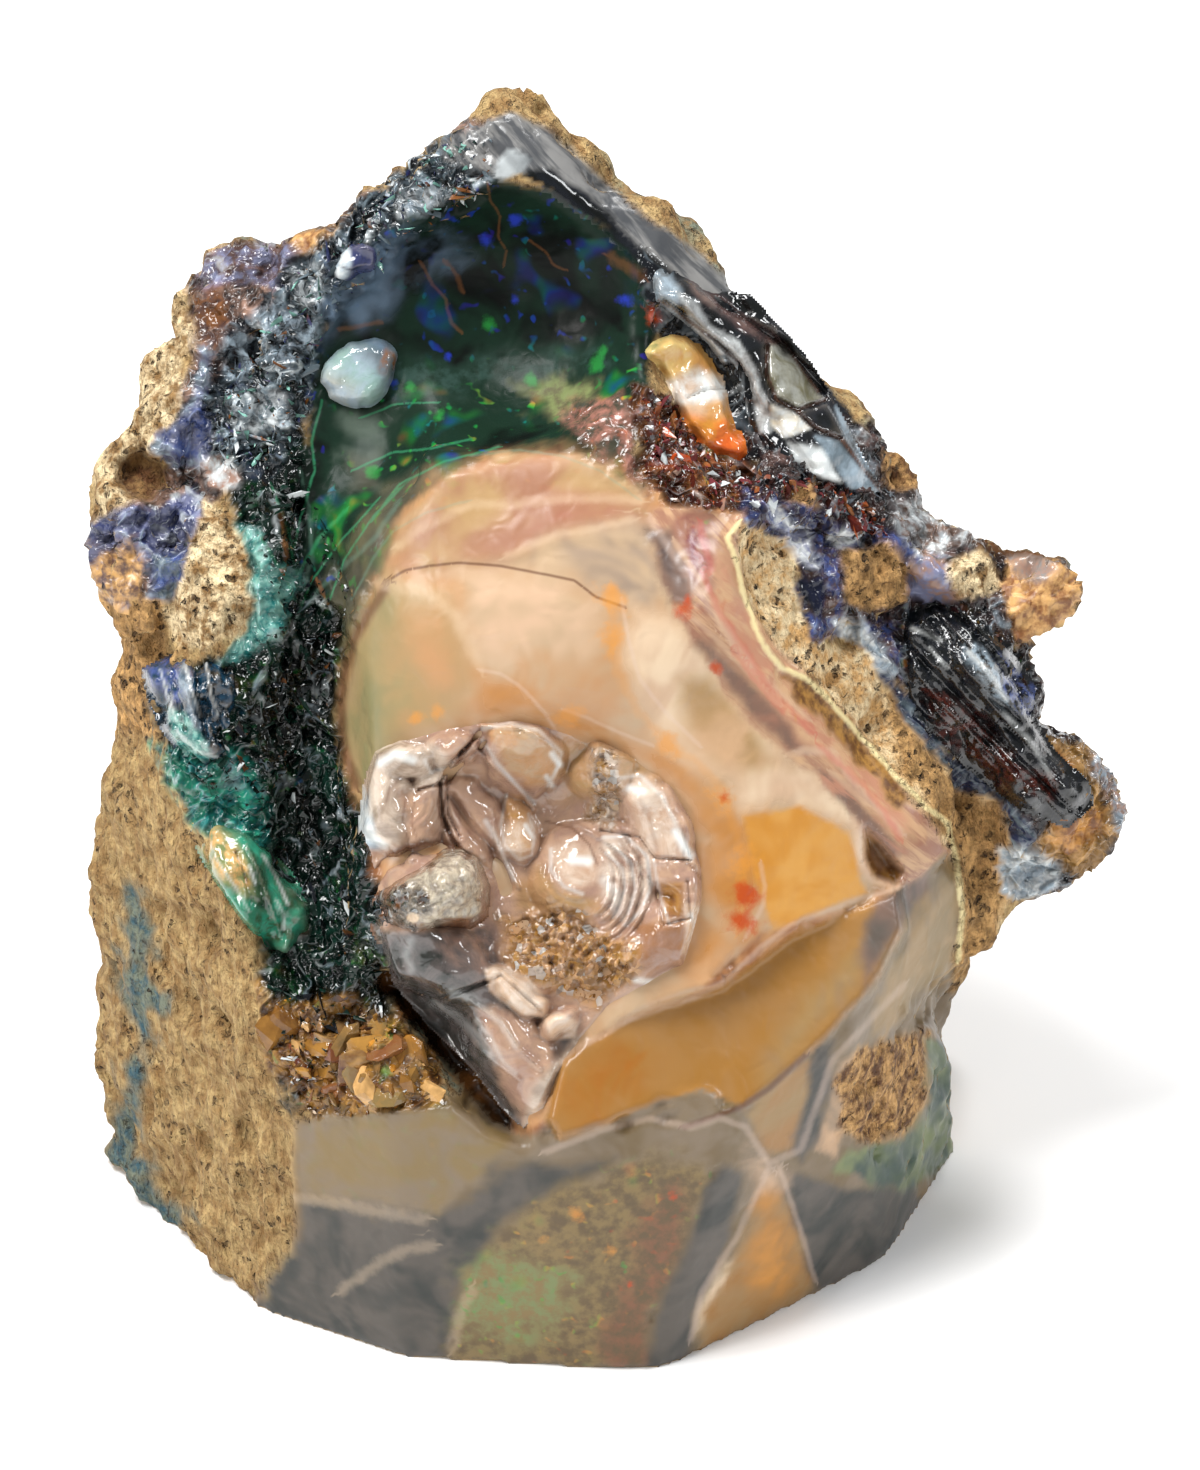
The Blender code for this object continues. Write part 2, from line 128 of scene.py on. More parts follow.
# ---------------------------------------------------------------- colour areas of the face
# Name, first colour, second colour, pattern between them, edge softness mm, edge wobble mm,
# roughness and outline. Later areas lie over earlier ones.
# The black crevice under the heart's lilac wedge is painted shade, pressed in a little.
# The blue-white patch on the toe at the lower right is a painted highlight.
# The dark cup in the left crust is painted shade in a pressed hollow.
# The grey of the crest band is a painted reflection of the light above, with dark streaks.
# The grey-blue smear in the upper left of the dark bowl is a painted sheen.
# The white patch at the upper end of the blue-grey seam is painted glints.
AREAS = rows_of("""
ground_base lilac_grey olive_grey cloud 1 0.3 0.36 -207,-258 -108,-243 -57,-239 -27,-205 67,-151
  175,-98 205,-98 239,-71 252,-291 205,-316 148,-397 27,-451 -108,-451 -252,-411 -214,-330
opal_base strip_rose peach cloud 0.8 0.3 0.28 -179,50 -168,91 -135,158 -94,192 0,199 94,155 108,77
  175,17 239,-64 205,-106 67,-178 -27,-224 -37,-266 -57,-269 -121,-185 -168,-111
slab wood_tan wood_brown fibre 1.5 0.6 0.85 -363,91 -316,77 -293,24 -286,-24 -227,-151 -227,-205
  -202,-266 -202,-313 -209,-407 -269,-400 -363,-313
slab_slate slate_blue wood_grey fine 1.2 1.2 0.7 -318,-98 -304,-114 -302,-168 -289,-182 -303,-188
  -297,-205 -310,-212 -315,-185 -322,-172 -322,-128
slab_slate_low slate_blue wood_grey fine 1.6 1.2 0.7 -318,-224 -308,-227 -311,-279 -293,-310
  -277,-330 -303,-340 -343,-299 -331,-279
left_glass glass_lilac glass_smoke fine 0.6 1.2 0.06 -276,333 -202,336 -135,380 -81,421 -64,411
  -188,273 -249,178 -296,91 -350,91 -340,145 -289,185 -303,212 -283,246
lilac_bump violet_pale violet_brown fine 1 1 0.08 -272,318 -259,330 -239,334 -207,328 -203,312
  -227,298 -248,291 -268,294
rust_bump copper violet_brown fine 1 1 0.1 -276,299 -250,302 -242,286 -249,262 -264,258 -276,276
gold_crumb glass_lilac glass_smoke fine 0.6 1.2 0.2 -252,299 -227,301 -226,278 -248,278
rust_block copper wood_gold fine 0.8 1 0.4 -206,336 -172,343 -168,322 -194,313
crust wood_pale wood_brown grit 1 0.8 0.85 -279,299 -275,273 -276,252 -284,212 -303,188 -316,158
  -340,145 -343,192 -323,239 -303,266 -296,293
crust_low wood_gold wood_brown grit 1 0.8 0.85 -345,98 -316,91 -293,91 -288,50 -303,30 -293,-3
  -323,3 -347,64
crust_cup umber wood_brown fine 0.6 0.4 0.8 -323,184 -310,192 -296,184 -292,170 -303,158 -318,160
  -327,170
porous_plate wood_pale wood_brown grit 0.5 0.6 0.9 -267,158 -248,145 -237,118 -231,91 -242,69
  -264,56 -288,63 -296,83
violet_high violet_pale slate_pale fine 0.4 0.5 0.05 -269,259 -260,258 -264,225 -258,199 -267,180
  -285,180 -303,192 -284,212 -276,229
violet_low violet_deep violet_pale fine 0.4 0.6 0.05 -345,139 -316,155 -296,148 -271,172 -269,150
  -277,118 -291,91 -302,91 -308,118 -318,83 -331,91 -347,118
violet_rust wood_gold violet_brown fine 0.8 1.2 0.3 -338,128 -323,125 -306,118 -310,91 -324,87
  -338,98
blue_patch violet_blue violet_pale fine 0.6 0.8 0.05 -295,201 -276,219 -260,220 -260,194 -281,182
blue_streak violet_blue slate_glass fine 0.4 0.6 0.05 -303,120 -281,120 -287,88 -299,94
crumb_dark glass_black glass_green cloud 0.8 0.8 0.05 -236,199 -202,212 -157,92 -168,64 -174,37
  -176,10 -171,-15 -144,-114 -140,-172 -133,-199 -168,-232 -209,-259 -227,-185 -227,-145 -209,-111
  -242,-71 -281,-37 -302,20 -266,54 -227,64 -234,118 -252,158
glass_high glass_black slate_glass fine 0.6 0.8 0.06 -209,318 -188,326 -148,374 -108,400 -64,414
  -67,374 -87,350 -135,326 -182,273 -188,225 -222,172 -259,178 -266,225 -242,262 -223,279
silver_patch crest_white slate_glass fine 0.5 0.6 0.06 -250,228 -236,234 -210,231 -209,205 -227,199
  -248,205
silver_low crest_white glass_lilac fine 0.5 0.6 0.06 -269,185 -245,189 -241,170 -254,165 -267,168
silver_left slate_pale glass_smoke fine 0.6 0.7 0.06 -254,273 -238,278 -232,259 -234,235 -252,238
silver_high slate_pale glass_black fine 0.6 0.8 0.06 -232,285 -212,293 -191,282 -190,258 -209,244
  -227,256
silver_top crest_white slate_pale fine 0.5 0.6 0.06 -135,363 -117,371 -102,364 -106,351 -125,343
  -136,351
silver_strip crest_white slate_glass fine 0.5 0.6 0.06 -207,316 -190,317 -186,293 -201,285
teal_seam teal_pale teal_deep fine 0.5 0.7 0.06 -244,143 -229,138 -221,116 -203,112 -201,98 -215,69
  -234,52 -267,42 -245,64 -230,90 -236,118
teal_flow sea_bright teal_deep fine 0.6 0.8 0.06 -303,-5 -281,-10 -266,-18 -246,-10 -230,-25
  -223,-52 -227,-75 -242,-81 -276,-59
crumb_gold amber_brown umber fine 0.5 0.8 0.3 -232,-168 -202,-182 -172,-172 -135,-188 -108,-219
  -102,-254 -194,-262 -223,-219
bowl opal_black opal_ink cloud 0.6 0.5 0.3 -190,259 -175,299 -168,326 -128,350 -67,375 -27,367
  13,339 34,314 39,273 27,192 0,178 -67,190 -108,172 -138,145 -162,91 -188,91 -202,118 -199,192
bowl_smear opal_slate opal_black cloud 1.8 0.8 0.2 -187,293 -141,336 -108,343 -87,326 -121,299
  -162,273 -182,266
bowl_green opal_green opal_ink cloud 1.8 1 0.32 -135,236 -87,256 -27,262 27,259 34,225 20,172 -7,178
  -40,199 -81,192 -148,151 -175,118 -195,118 -188,178 -175,219
bowl_veil teal_slate opal_ink fine 1.8 1.2 0.32 -148,254 -108,250 -67,254 0,256 4,246 -27,240
  -67,242 -108,231 -145,231
bowl_haze moss_green opal_halo fine 1.2 1.2 0.4 -54,236 -27,242 0,236 7,224 -7,215 -34,216 -51,224
bowl_block opal_stone opal_ink cloud 1 0.6 0.4 -179,219 -149,220 -148,190 -176,189
bowl_pane opal_moss opal_stone cloud 1 0.6 0.4 -168,188 -150,188 -149,166 -168,165
bowl_halo opal_halo opal_moss cloud 1.6 0.8 0.3 -182,91 -167,138 -140,168 -108,180 -135,145 -140,118
  -153,91 -172,64
bowl_rose opal_rose opal_moss fine 1 1 0.16 -20,225 13,232 27,199 34,158 0,172 -27,199
bowl_edge opal_black opal_ink cloud 0.5 0.5 0.12 -74,204 -27,209 0,195 -7,188 -40,194 -81,192
band_dark glass_smoke glass_black streak 0.4 0.4 0.12 -67,382 -27,388 42,330 67,301 102,293 168,220
  199,173 168,165 135,199 108,239 34,313 0,343 -34,367
band_grey crest_pale crest_shade streak 0.5 0.3 0.2 -108,400 -61,419 -34,409 28,352 69,325 102,295
  86,291 61,301 27,329 -7,363 -32,383 -64,376 -87,379 -104,387
band_tip crest_white crest_grey cloud 0.3 0.2 0.14 -71,376 -67,387 -62,395 -47,388 -51,380 -64,374
flute_dark glass_black glass_smoke streak 0.5 0.4 0.1 27,328 42,318 67,293 102,293 135,259 155,225
  168,195 135,192 94,178 67,205 61,239 37,273 30,299
red_crystals garnet copper fine 0.5 0.7 0.05 22,236 61,225 70,199 100,180 135,178 188,158 205,128
  168,131 135,158 98,149 67,150 47,154 27,178
fire_crystals fire_orange garnet fine 0.5 0.8 0.06 94,186 129,181 129,168 100,170
gold_shards glass_lilac garnet fine 0.6 0.8 0.08 132,178 155,177 188,161 202,138 175,138 132,165
right_glass violet_brown glass_smoke fine 0.6 1.2 0.05 96,199 135,225 182,205 222,195 242,158
  269,131 336,118 343,64 310,24 370,-30 363,-111 296,-118 222,-17 175,64 135,118 98,145
matrix wood_pale wood_gold grit 0.5 0.6 0.9 89,141 118,145 131,137 134,96 140,73 149,64 182,57
  190,30 205,37 219,7 246,-34 271,-44 280,-64 277,-111 269,-151 239,-172 236,-84 168,9 128,42 98,88
matrix_low wood_gold wood_brown grit 1.2 1 0.9 188,30 205,37 219,7 246,-34 271,-44 280,-64 277,-111
  269,-151 239,-172 239,-84 202,-24
blue_glass violet_blue violet_brown fine 0.4 0.6 0.05 96,166 135,162 168,139 205,138 225,111 202,91
  176,128 163,104 163,77 202,76 215,30 205,30 183,64 143,64 131,98 135,128 96,145
blue_white glass_white violet_blue fine 0.4 0.7 0.06 113,158 127,153 135,142 129,135 116,145
blue_lilac violet_pale glass_white fine 0.4 0.7 0.06 153,139 176,138 180,130 166,126 152,130
lilac_bits violet_pale glass_lilac fine 0.4 0.7 0.06 201,118 222,126 242,114 248,91 229,83 207,94
blue_hollow indigo glass_smoke cloud 0.4 0.3 0.06 130,107 151,104 149,77 136,88
blue_swirl glass_white violet_pale streak 0.4 0.4 0.06 125,145 139,138 149,111 139,112 128,128
blue_rim violet_blue indigo cloud 0.4 0.3 0.06 191,138 205,134 214,119 205,118
tan_bit wood_gold umber grit 0.5 0.6 0.8 120,169 143,169 145,153 122,153
right_top crest_white plum fine 0.8 1 0.2 197,160 222,158 250,150 250,126 222,123 199,138
striated glass_black glass_smoke streak 0.6 0.6 0.05 203,83 246,91 276,64 299,30 293,14 311,-11
  345,-44 311,-65 277,-45 210,9 201,50
slate_seam slate_glass indigo streak 0.5 0.5 0.14 182,64 205,30 225,-7 252,-24 277,-44 303,-77
  311,-98 283,-111 269,-44 242,-37 188,37
seam_light glass_white slate_pale fine 0.5 0.6 0.08 153,79 178,77 182,68 199,50 205,38 191,42 176,59
  160,65
tips wood_gold copper fine 0.5 0.7 0.4 269,118 296,126 333,104 326,77 296,57 281,64 273,91
tips_lilac glass_lilac crest_pale fine 0.8 0.8 0.15 272,123 296,123 308,111 299,102 276,108
tip_block wood_gold wood_brown grit 0.5 0.5 0.85 163,123 195,131 207,118 205,91 182,83 165,91
gold_block wood_pale wood_brown grit 0.5 0.6 0.85 232,118 259,126 269,111 262,92 239,91
gold_rim wood_gold umber grit 0.5 0.6 0.85 188,192 219,192 222,168 195,165
toe_tip wood_gold amber_brown fine 0.6 0.8 0.2 296,-3 336,-3 363,-50 330,-98 289,-84 310,-44
toe_rust copper garnet fine 0.6 0.8 0.1 285,-14 310,-11 319,-30 311,-45 296,-46 287,-34
toe_gold honey_pale copper fine 0.6 0.8 0.2 303,-48 324,-44 341,-48 339,-68 316,-79 302,-71
toe_lens glass_black teal_blue cloud 0.4 0.3 0.06 314,-33 323,-30 328,-42 324,-55 316,-52
toe_edge glass_lilac slate_pale fine 0.6 0.8 0.1 326,0 343,-5 362,-44 350,-65 336,-37
toe_blue slate_pale glass_white fine 0.5 0.6 0.08 269,-75 289,-79 311,-85 308,-103 283,-112 271,-106
tip_edge glass_black umber cloud 0.4 0.3 0.2 252,131 269,135 302,131 304,120 283,120 262,120
peach peach cream cloud 0.5 0.15 0.3 -165,50 -133,145 -101,170 -67,189 -13,189 27,165 61,77 87,30
  121,-7 156,-15 176,-57 205,-103 182,-112 108,-133 67,-173 13,-193 -27,-220 -37,-260 -54,-267
  -67,-246 -121,-178 -144,-111 -149,-81 -169,-11 -172,13 -170,34
pink_cap flush tan_opal swirl 3 0.8 0.36 -140,110 -135,138 -108,172 -67,188 -13,188 27,165 37,138
  27,128 0,131 -27,128 -54,118 -94,116
cap_flush flush salmon cloud 3 1 0.3 -82,128 -67,141 -40,153 -17,160 10,155 27,148 -27,138 -54,123
  -71,118
cap_veil veil_grey cream swirl 2 0.6 0.3 -61,116 -34,133 20,145 37,138 44,98 34,83 7,91 -13,103
olive_side olive_cream tan_opal cloud 2.6 0.6 0.36 -172,13 -164,64 -153,91 -140,106 -104,92 -93,64
  -87,30 -108,10 -135,-3 -148,-14 -153,-44 -162,-44 -168,-17
olive_rim olive_pale olive_cream cloud 2.4 0.4 0.32 -172,13 -164,64 -153,90 -144,102 -140,91 -143,24
  -137,-3 -143,-24 -153,-48 -164,-30
tan_oval peach tan_opal cloud 2.8 0.8 0.34 -131,81 -108,88 -96,64 -93,30 -114,24 -128,50
cream_middle cream cream_rose swirl 2.6 0.8 0.3 -93,110 -67,112 -27,104 -3,91 0,64 -7,50 -54,50
  -81,54 -93,77
amber_zone amber_opal peach swirl 2.2 0.8 0.26 -82,42 -54,33 -36,15 13,0 61,-24 94,-50 109,-84
  108,-111 94,-135 67,-151 81,-111 74,-77 61,-44 34,-17 0,0 -27,9 -67,13 -82,24
rose_right cloud_white cream_rose swirl 2.6 0.8 0.24 22,87 61,74 128,-11 114,-30 79,-27 46,-3 23,24
  15,57
tan_right tan_opal peach_rose cloud 2 0.4 0.22 54,37 74,42 101,10 118,-17 108,-28 81,-22 58,3
white_cloud cloud_white cream_rose swirl 2.2 0.8 0.24 82,-38 114,-24 145,-17 168,-37 183,-64 176,-85
  163,-63 128,-45 96,-52
honey_facet honey honey_light cloud 0.5 0.15 0.3 96,-54 135,-48 168,-65 175,-98 180,-106 116,-131
  104,-98
orange_facet facet_gold facet_sand cloud 0.35 0.1 0.3 -36,-258 -26,-220 -12,-209 28,-186 82,-169
  129,-135 201,-104 205,-131 188,-165 145,-212 96,-251 69,-238 42,-246 1,-264 -28,-274
facet_left caramel facet_gold cloud 4 0.6 0.3 -27,-250 -17,-232 0,-216 24,-205 35,-216 24,-236
  4,-251 -19,-260
facet_right sand_orange lilac_grey cloud 3.4 0.6 0.3 114,-231 118,-209 139,-178 166,-151 190,-131
  183,-155
low_left olive_tan lilac_grey cloud 0.8 0.6 0.36 -207,-259 -108,-248 -57,-270 -59,-279 -108,-324
  -204,-312
low_slate slate_dark slate_lilac cloud 1.4 0.8 0.36 -204,-310 -108,-326 -73,-293 -47,-286 -20,-290
  11,-283 0,-294 -31,-308 -64,-328 -91,-376 -108,-444 -252,-411 -236,-380 -202,-340
low_violet lilac_grey olive_grey cloud 1.2 0.5 0.36 -57,-270 -37,-279 1,-266 61,-264 96,-256
  128,-286 108,-293 27,-279 -20,-289 -47,-285 -67,-291
low_moss olive_tan moss_brown fine 1.6 1 0.36 -64,-328 -31,-308 34,-281 69,-286 75,-299 61,-343
  34,-387 27,-444 -108,-444 -91,-375 -79,-351
low_green moss_green olive_tan fine 2.4 1.6 0.36 -98,-359 -67,-351 -37,-355 -19,-374 -26,-400
  -67,-411 -94,-400
low_umber garnet_dull moss_brown fine 2 1.2 0.36 27,-320 48,-304 62,-320 52,-357 35,-388 36,-441
  4,-441 0,-414 20,-374
low_stripe slate_dark slate_lilac cloud 0.9 0.4 0.36 82,-290 98,-294 89,-330 65,-400 61,-442 28,-442
  36,-392 57,-347 71,-306
low_white cloud_white sand_orange cloud 1 0.5 0.36 82,-355 100,-348 92,-374 75,-394 63,-407 69,-380
low_orange facet_gold sand_orange cloud 1 0.5 0.36 112,-297 129,-321 147,-359 143,-380 94,-407
  62,-431 71,-391 94,-343
low_flame honey facet_gold cloud 2 0.6 0.36 110,-306 125,-326 133,-348 121,-374 102,-374 100,-347
low_dark_right slate_dark slate_lilac cloud 0.9 0.4 0.36 122,-290 168,-304 205,-304 222,-313
  205,-353 148,-387
low_joint cream_rose lilac_grey cloud 2.2 0.8 0.36 102,-277 118,-274 129,-286 124,-299 109,-304
  98,-290
right_facet lilac_grey olive_grey swirl 0.7 0.4 0.34 96,-256 145,-212 188,-166 205,-131 201,-104
  236,-77 244,-131 229,-158 168,-232 158,-273 205,-299 168,-306 122,-290
right_plum plum slate_lilac cloud 1.2 0.6 0.34 184,-114 221,-85 222,-104 191,-145 179,-168 176,-151
right_olive sand_orange olive_tan cloud 1.4 1 0.34 207,-131 236,-88 244,-131 232,-162 205,-188
  184,-205 187,-178 197,-151
right_peach sand_orange facet_sand cloud 0.8 0.4 0.34 97,-255 138,-221 155,-219 138,-252 131,-279
  114,-279
right_pink peach_rose lilac_grey cloud 0.5 0.4 0.34 160,-219 176,-212 168,-252 160,-286 145,-279
right_stripe slate_dark slate_lilac cloud 0.8 0.4 0.36 145,-211 157,-205 155,-239 147,-271 136,-286
  129,-279 137,-252
right_pores wood_gold umber fine 0.8 0.8 0.7 160,-232 168,-217 188,-205 222,-199 227,-236 212,-266
  182,-277 163,-270
right_teal teal_slate moss_green cloud 0.8 0.5 0.3 219,-205 242,-207 246,-246 242,-286 202,-306
  158,-293 168,-279 205,-273 222,-246
strip peach_rose rose_brown bands 0.5 0.4 0.26 34,153 61,154 96,149 89,118 100,87 118,61 170,9
  203,-32 237,-79 202,-103 188,-92 168,-45 114,-5 82,29 55,76 37,118
strip_slate plum_dark plum cloud 1 0.4 0.22 31,138 48,138 61,110 62,88 48,90 38,115
strip_crimson crimson rose_brown fine 1.2 0.8 0.22 50,146 71,149 77,115 65,106 54,128
strip_plum plum rose_brown cloud 0.9 0.4 0.22 59,71 76,64 92,44 135,6 143,-9 127,-11 105,10 63,60
strip_pink rose peach_rose bands 1 0.5 0.24 78,126 87,123 97,87 135,30 166,3 192,-27 210,-69 195,-64
  168,-29 135,-2 109,29 89,63 77,91
strip_low plum rose streak 0.7 0.3 0.24 139,-14 163,-30 206,-79 197,-83 151,-34
strip_hollow amber_brown umber grit 0.6 0.6 0.5 125,39 144,39 167,9 189,-13 207,-44 202,-48 174,-15
  133,22
crevice glass_black umber cloud 0.4 0.3 0.2 -151,-155 -138,-162 -81,-229 -59,-258 -59,-267 -74,-262
  -104,-223 -149,-172
notch umber amber_brown cloud 0.4 0.2 0.4 179,-63 188,-72 203,-92 199,-100 186,-96 179,-83
""")

# Thin lines on the face: group, width mm, points. Each group is one colour.
# The dark_crack lines are fine cracks, but the one along the left edge of the opal dome is painted
# shade.
VEINS = rows_of("""
dark_crack 0.11 -146,102 -131,111 -114,114 -95,116 -68,114 -36,108 -17,104 -3,93 17,86
dark_crack 0.22 57,-264 71,-259 94,-251 114,-238 138,-216
dark_crack 0.4 -145,98 -156,81 -166,64 -171,45 -174,24 -174,3 -171,-14 -164,-33
pale_vein 0.2 -17,-212 -27,-220 -37,-240 -52,-260
pale_vein 0.22 -17,-212 7,-199 30,-186 61,-177 82,-168
pale_vein 0.18 82,-168 108,-143 128,-128 175,-110 202,-102
pale_vein 0.26 -37,-281 0,-266 34,-258 61,-264 81,-258 98,-264 114,-289
pale_vein 0.26 114,-289 135,-279 145,-252 156,-220 188,-185 205,-168
pale_vein 0.24 114,-291 91,-340 69,-374 61,-407
pale_vein 0.2 121,-291 135,-333 145,-367
pale_vein 0.14 -81,44 -67,41 -55,34 -37,15 -30,3
pale_vein 0.14 -24,17 -7,11 12,2 35,-7
pale_vein 0.18 108,-87 111,-101 110,-114 98,-136
pale_vein 0.16 15,91 19,64 27,37 46,13 67,-7
pale_vein 0.3 34,145 61,104 81,76 102,45
pale_vein 0.3 135,-11 155,-11 176,-38 202,-65
pale_vein 0.25 179,-63 188,-72 203,-92
pale_vein 0.3 176,-63 174,-77 180,-95 199,-102
haze_line 0.4 -204,-312 -172,-316 -150,-321 -118,-326
haze_line 0.4 -174,-374 -148,-355 -132,-347 -114,-344
haze_line 0.4 -100,-413 -93,-387 -87,-374
haze_line 0.45 -149,102 -135,99 -116,96 -100,83 -90,65 -81,47
haze_line 0.3 -63,120 -47,128 -32,134 -7,139 22,145
haze_line 0.35 -135,128 -114,143 -87,155 -54,156 -20,160 27,158
gold_vein 0.34 8,98 9,77 10,60 12,42 26,15 46,-5 67,-20 82,-37 92,-64 98,-88 96,-111 92,-131
wisp 0.1 -167,91 -153,118 -140,137 -116,150 -87,158
wisp 0.1 -87,188 -54,192 -27,188 0,178 27,158
wisp 0.18 -202,77 -190,98 -175,111 -153,131 -135,158
wisp 0.16 -202,178 -195,145 -194,118 -202,91
copper_line 0.1 -76,373 -74,361 -67,349 -69,336 -63,326 -65,316
copper_line 0.1 -48,333 -36,325 -32,317 -23,313
copper_line 0.16 -175,273 -164,275 -148,278
copper_line 0.18 -104,318 -96,309 -93,299
copper_line 0.35 8,322 19,316 28,309
copper_line 0.12 -121,318 -113,304 -104,293 -100,277 -93,271
yellow_crust 0.2 93,143 86,133 91,118 97,94 108,64 122,45 139,38 149,29 166,10 183,-9 199,-28
  219,-48 234,-59 240,-84 244,-119 241,-151
lilac_line 0.22 50,130 69,102 83,77 106,42 140,11
lilac_line 0.2 61,79 75,68 94,48 120,21
lilac_line 0.26 128,-13 140,-9 156,-11
lilac_line 0.22 156,-25 166,-34 179,-46
rose_line 0.26 70,108 78,87 96,59 118,26 143,3
rose_line 0.22 90,57 102,40 124,15
rose_line 0.3 67,141 71,126 75,111
rose_line 0.26 148,-7 167,-24 187,-45 202,-69
green_strand 0.14 -170,152 -188,134 -202,110
green_strand 0.1 -187,225 -194,199 -192,178 -202,145 -207,118
green_strand 0.09 -167,178 -140,190 -114,193 -87,199
green_strand 0.09 -153,145 -135,169 -105,184 -67,194
green_strand 0.08 -162,213 -137,223 -108,224
green_strand 0.08 -182,91 -172,118 -153,147 -128,172
green_strand 0.08 -205,77 -194,104 -174,131 -148,160
green_strand 0.1 -222,170 -210,138 -204,107
green_strand 0.12 -227,131 -214,110 -205,91
fire_strand 0.22 -215,149 -212,134 -211,120
fire_strand 0.16 -190,104 -186,94
""")

# Round spots on the face: group, radius mm, middles.
SPOTS = rows_of("""
orange_spot 1.5 10,64
orange_spot 1.6 -22,14 8,95 96,-87
orange_spot 1.4 44,-6 83,-42
orange_spot 0.8 -110,15
orange_spot 0.7 -123,13 -17,-323
orange_spot 0.6 -37,-340 7,-347
red_spot 1.4 99,-108
red_spot 1.6 96,-126
red_spot 0.8 84,-41
red_spot 1.2 58,85
red_spot 0.7 78,45
red_spot 1 36,283
red_spot 0.5 48,-310
red_spot 0.4 20,-370
red_spot 0.6 -205,-209
blue_spot 0.5 -103,254
blue_spot 0.7 -76,333 17,293
blue_spot 0.6 -57,347 -57,293 -140,236
green_spot 0.6 -128,234
green_spot 0.7 -76,276 -47,239 -143,-227 1,258 -153,178 -108,215
green_spot 0.9 -2,249
""")

# Places where the rim bulges out or draws in: reach mm, how far right and up mm, middle.
NUDGES = rows_of("""
3.23 1.3 0.7 326,-27
4.31 -1.4 0 -326,-209
2.29 0.2 1.5 277,118
2.02 0.8 0.9 42,352
2.02 -1.1 0.1 -338,122
2.29 0.6 0.5 182,209
2.56 -1.2 0 -332,-114
2.02 -1 0.3 -281,282
2.02 -1.1 0.2 -330,175
1.62 -0.6 0.9 -78,419
2.02 -0.2 0.8 -246,328
2.83 -0.8 0 -319,-283
2.56 -1.3 -1.1 219,172
2.96 0.6 -1.1 -192,341
2.69 0.5 -1.1 -131,384
2.69 -0.9 0.9 318,76
2.29 -1.2 -1.2 13,388
2.83 -1.5 0 242,-188
2.56 1.2 0 -335,79
2.42 -0.2 0.9 293,-114
1.88 -0.6 -0.6 79,325
4.04 0.8 0 -333,13
1.48 0.9 0 250,-153
""")


def smoothstep(low, high, value):
    """0 up to low, 1 from high on, and a smooth rise between them."""
    share = np.clip((value - low) / (high - low), 0.0, 1.0)
    return share * share * (3.0 - 2.0 * share)


def on_sheet(points):
    """Where each point, in millimetres, is seen on the sheet."""
    offset = points - SHEET_MIDDLE
    reach = EYE_DISTANCE / (EYE_DISTANCE + offset @ SHEET_IN)
    return np.column_stack([offset @ SHEET_RIGHT * reach, offset @ SHEET_UP * reach])


def sight_lines(spots):
    """Unit directions from the eye through spots on the sheet."""
    spots = np.atleast_2d(spots)
    ways = EYE_DISTANCE * SHEET_IN + spots[:, :1] * SHEET_RIGHT + spots[:, 1:] * SHEET_UP
    return ways / np.linalg.norm(ways, axis=1)[:, None]


def side_gaps(spots, outline, closed=True):
    """(distance to the outline, whether inside it, signed distance to its nearest side)."""
    ends = np.array(outline, float)
    if closed:
        starts = np.roll(ends, 1, axis=0)
    else:
        starts, ends = ends[:-1], ends[1:]
    nearest = np.full(len(spots), np.inf)
    signed = np.zeros(len(spots))
    inside = np.zeros(len(spots), bool)
    for start, end in zip(starts, ends):
        along = end - start
        reach = np.clip(((spots - start) @ along) / (along @ along), 0.0, 1.0)
        gap = spots - start - reach[:, None] * along
        far = np.hypot(gap[:, 0], gap[:, 1])
        side = along[0] * (spots[:, 1] - start[1]) - along[1] * (spots[:, 0] - start[0])
        closer = far < nearest
        signed[closer] = (np.sign(side) * far)[closer]
        nearest = np.minimum(nearest, far)
        if start[1] != end[1]:
            crosses = (start[1] > spots[:, 1]) != (end[1] > spots[:, 1])
            meets = start[0] + (spots[:, 1] - start[1]) * along[0] / along[1]
            inside ^= crosses & (spots[:, 0] < meets)
    return nearest, inside, signed


def depth_inside(spots, outline):
    """How far each spot is inside the outline, and negative outside it."""
    nearest, inside, _ = side_gaps(spots, outline)
    return np.where(inside, nearest, -nearest)


def fractal(points, size, octaves=4, shift=0.0):
    """Even-handed noise with features about that size."""
    moved = Vector((shift, shift, shift))
    return np.array([
        noise.fractal(Vector(p) / size + moved, NOISE_FADE, NOISE_STEP, octaves) for p in points
    ])


def pits(points, spacing, size):
    """1 in the middle of scattered round pits, and 0 between them."""
    gaps = np.array([noise.voronoi(Vector(p) / spacing)[0][0] for p in points])
    return 1.0 - smoothstep(size * 0.4, size, gaps)


def numbers(owner, name, width):
    """One array of a mesh layer's numbers."""
    found = np.empty(len(owner) * width)
    owner.foreach_get(name, found)
    return found.reshape(-1, width)


def keep_numbers(mesh, name, values):
    """Stores one number for each point of the mesh."""
    layer = mesh.attributes.new(name, "FLOAT", "POINT")
    layer.data.foreach_set("value", np.asarray(values, np.float32))


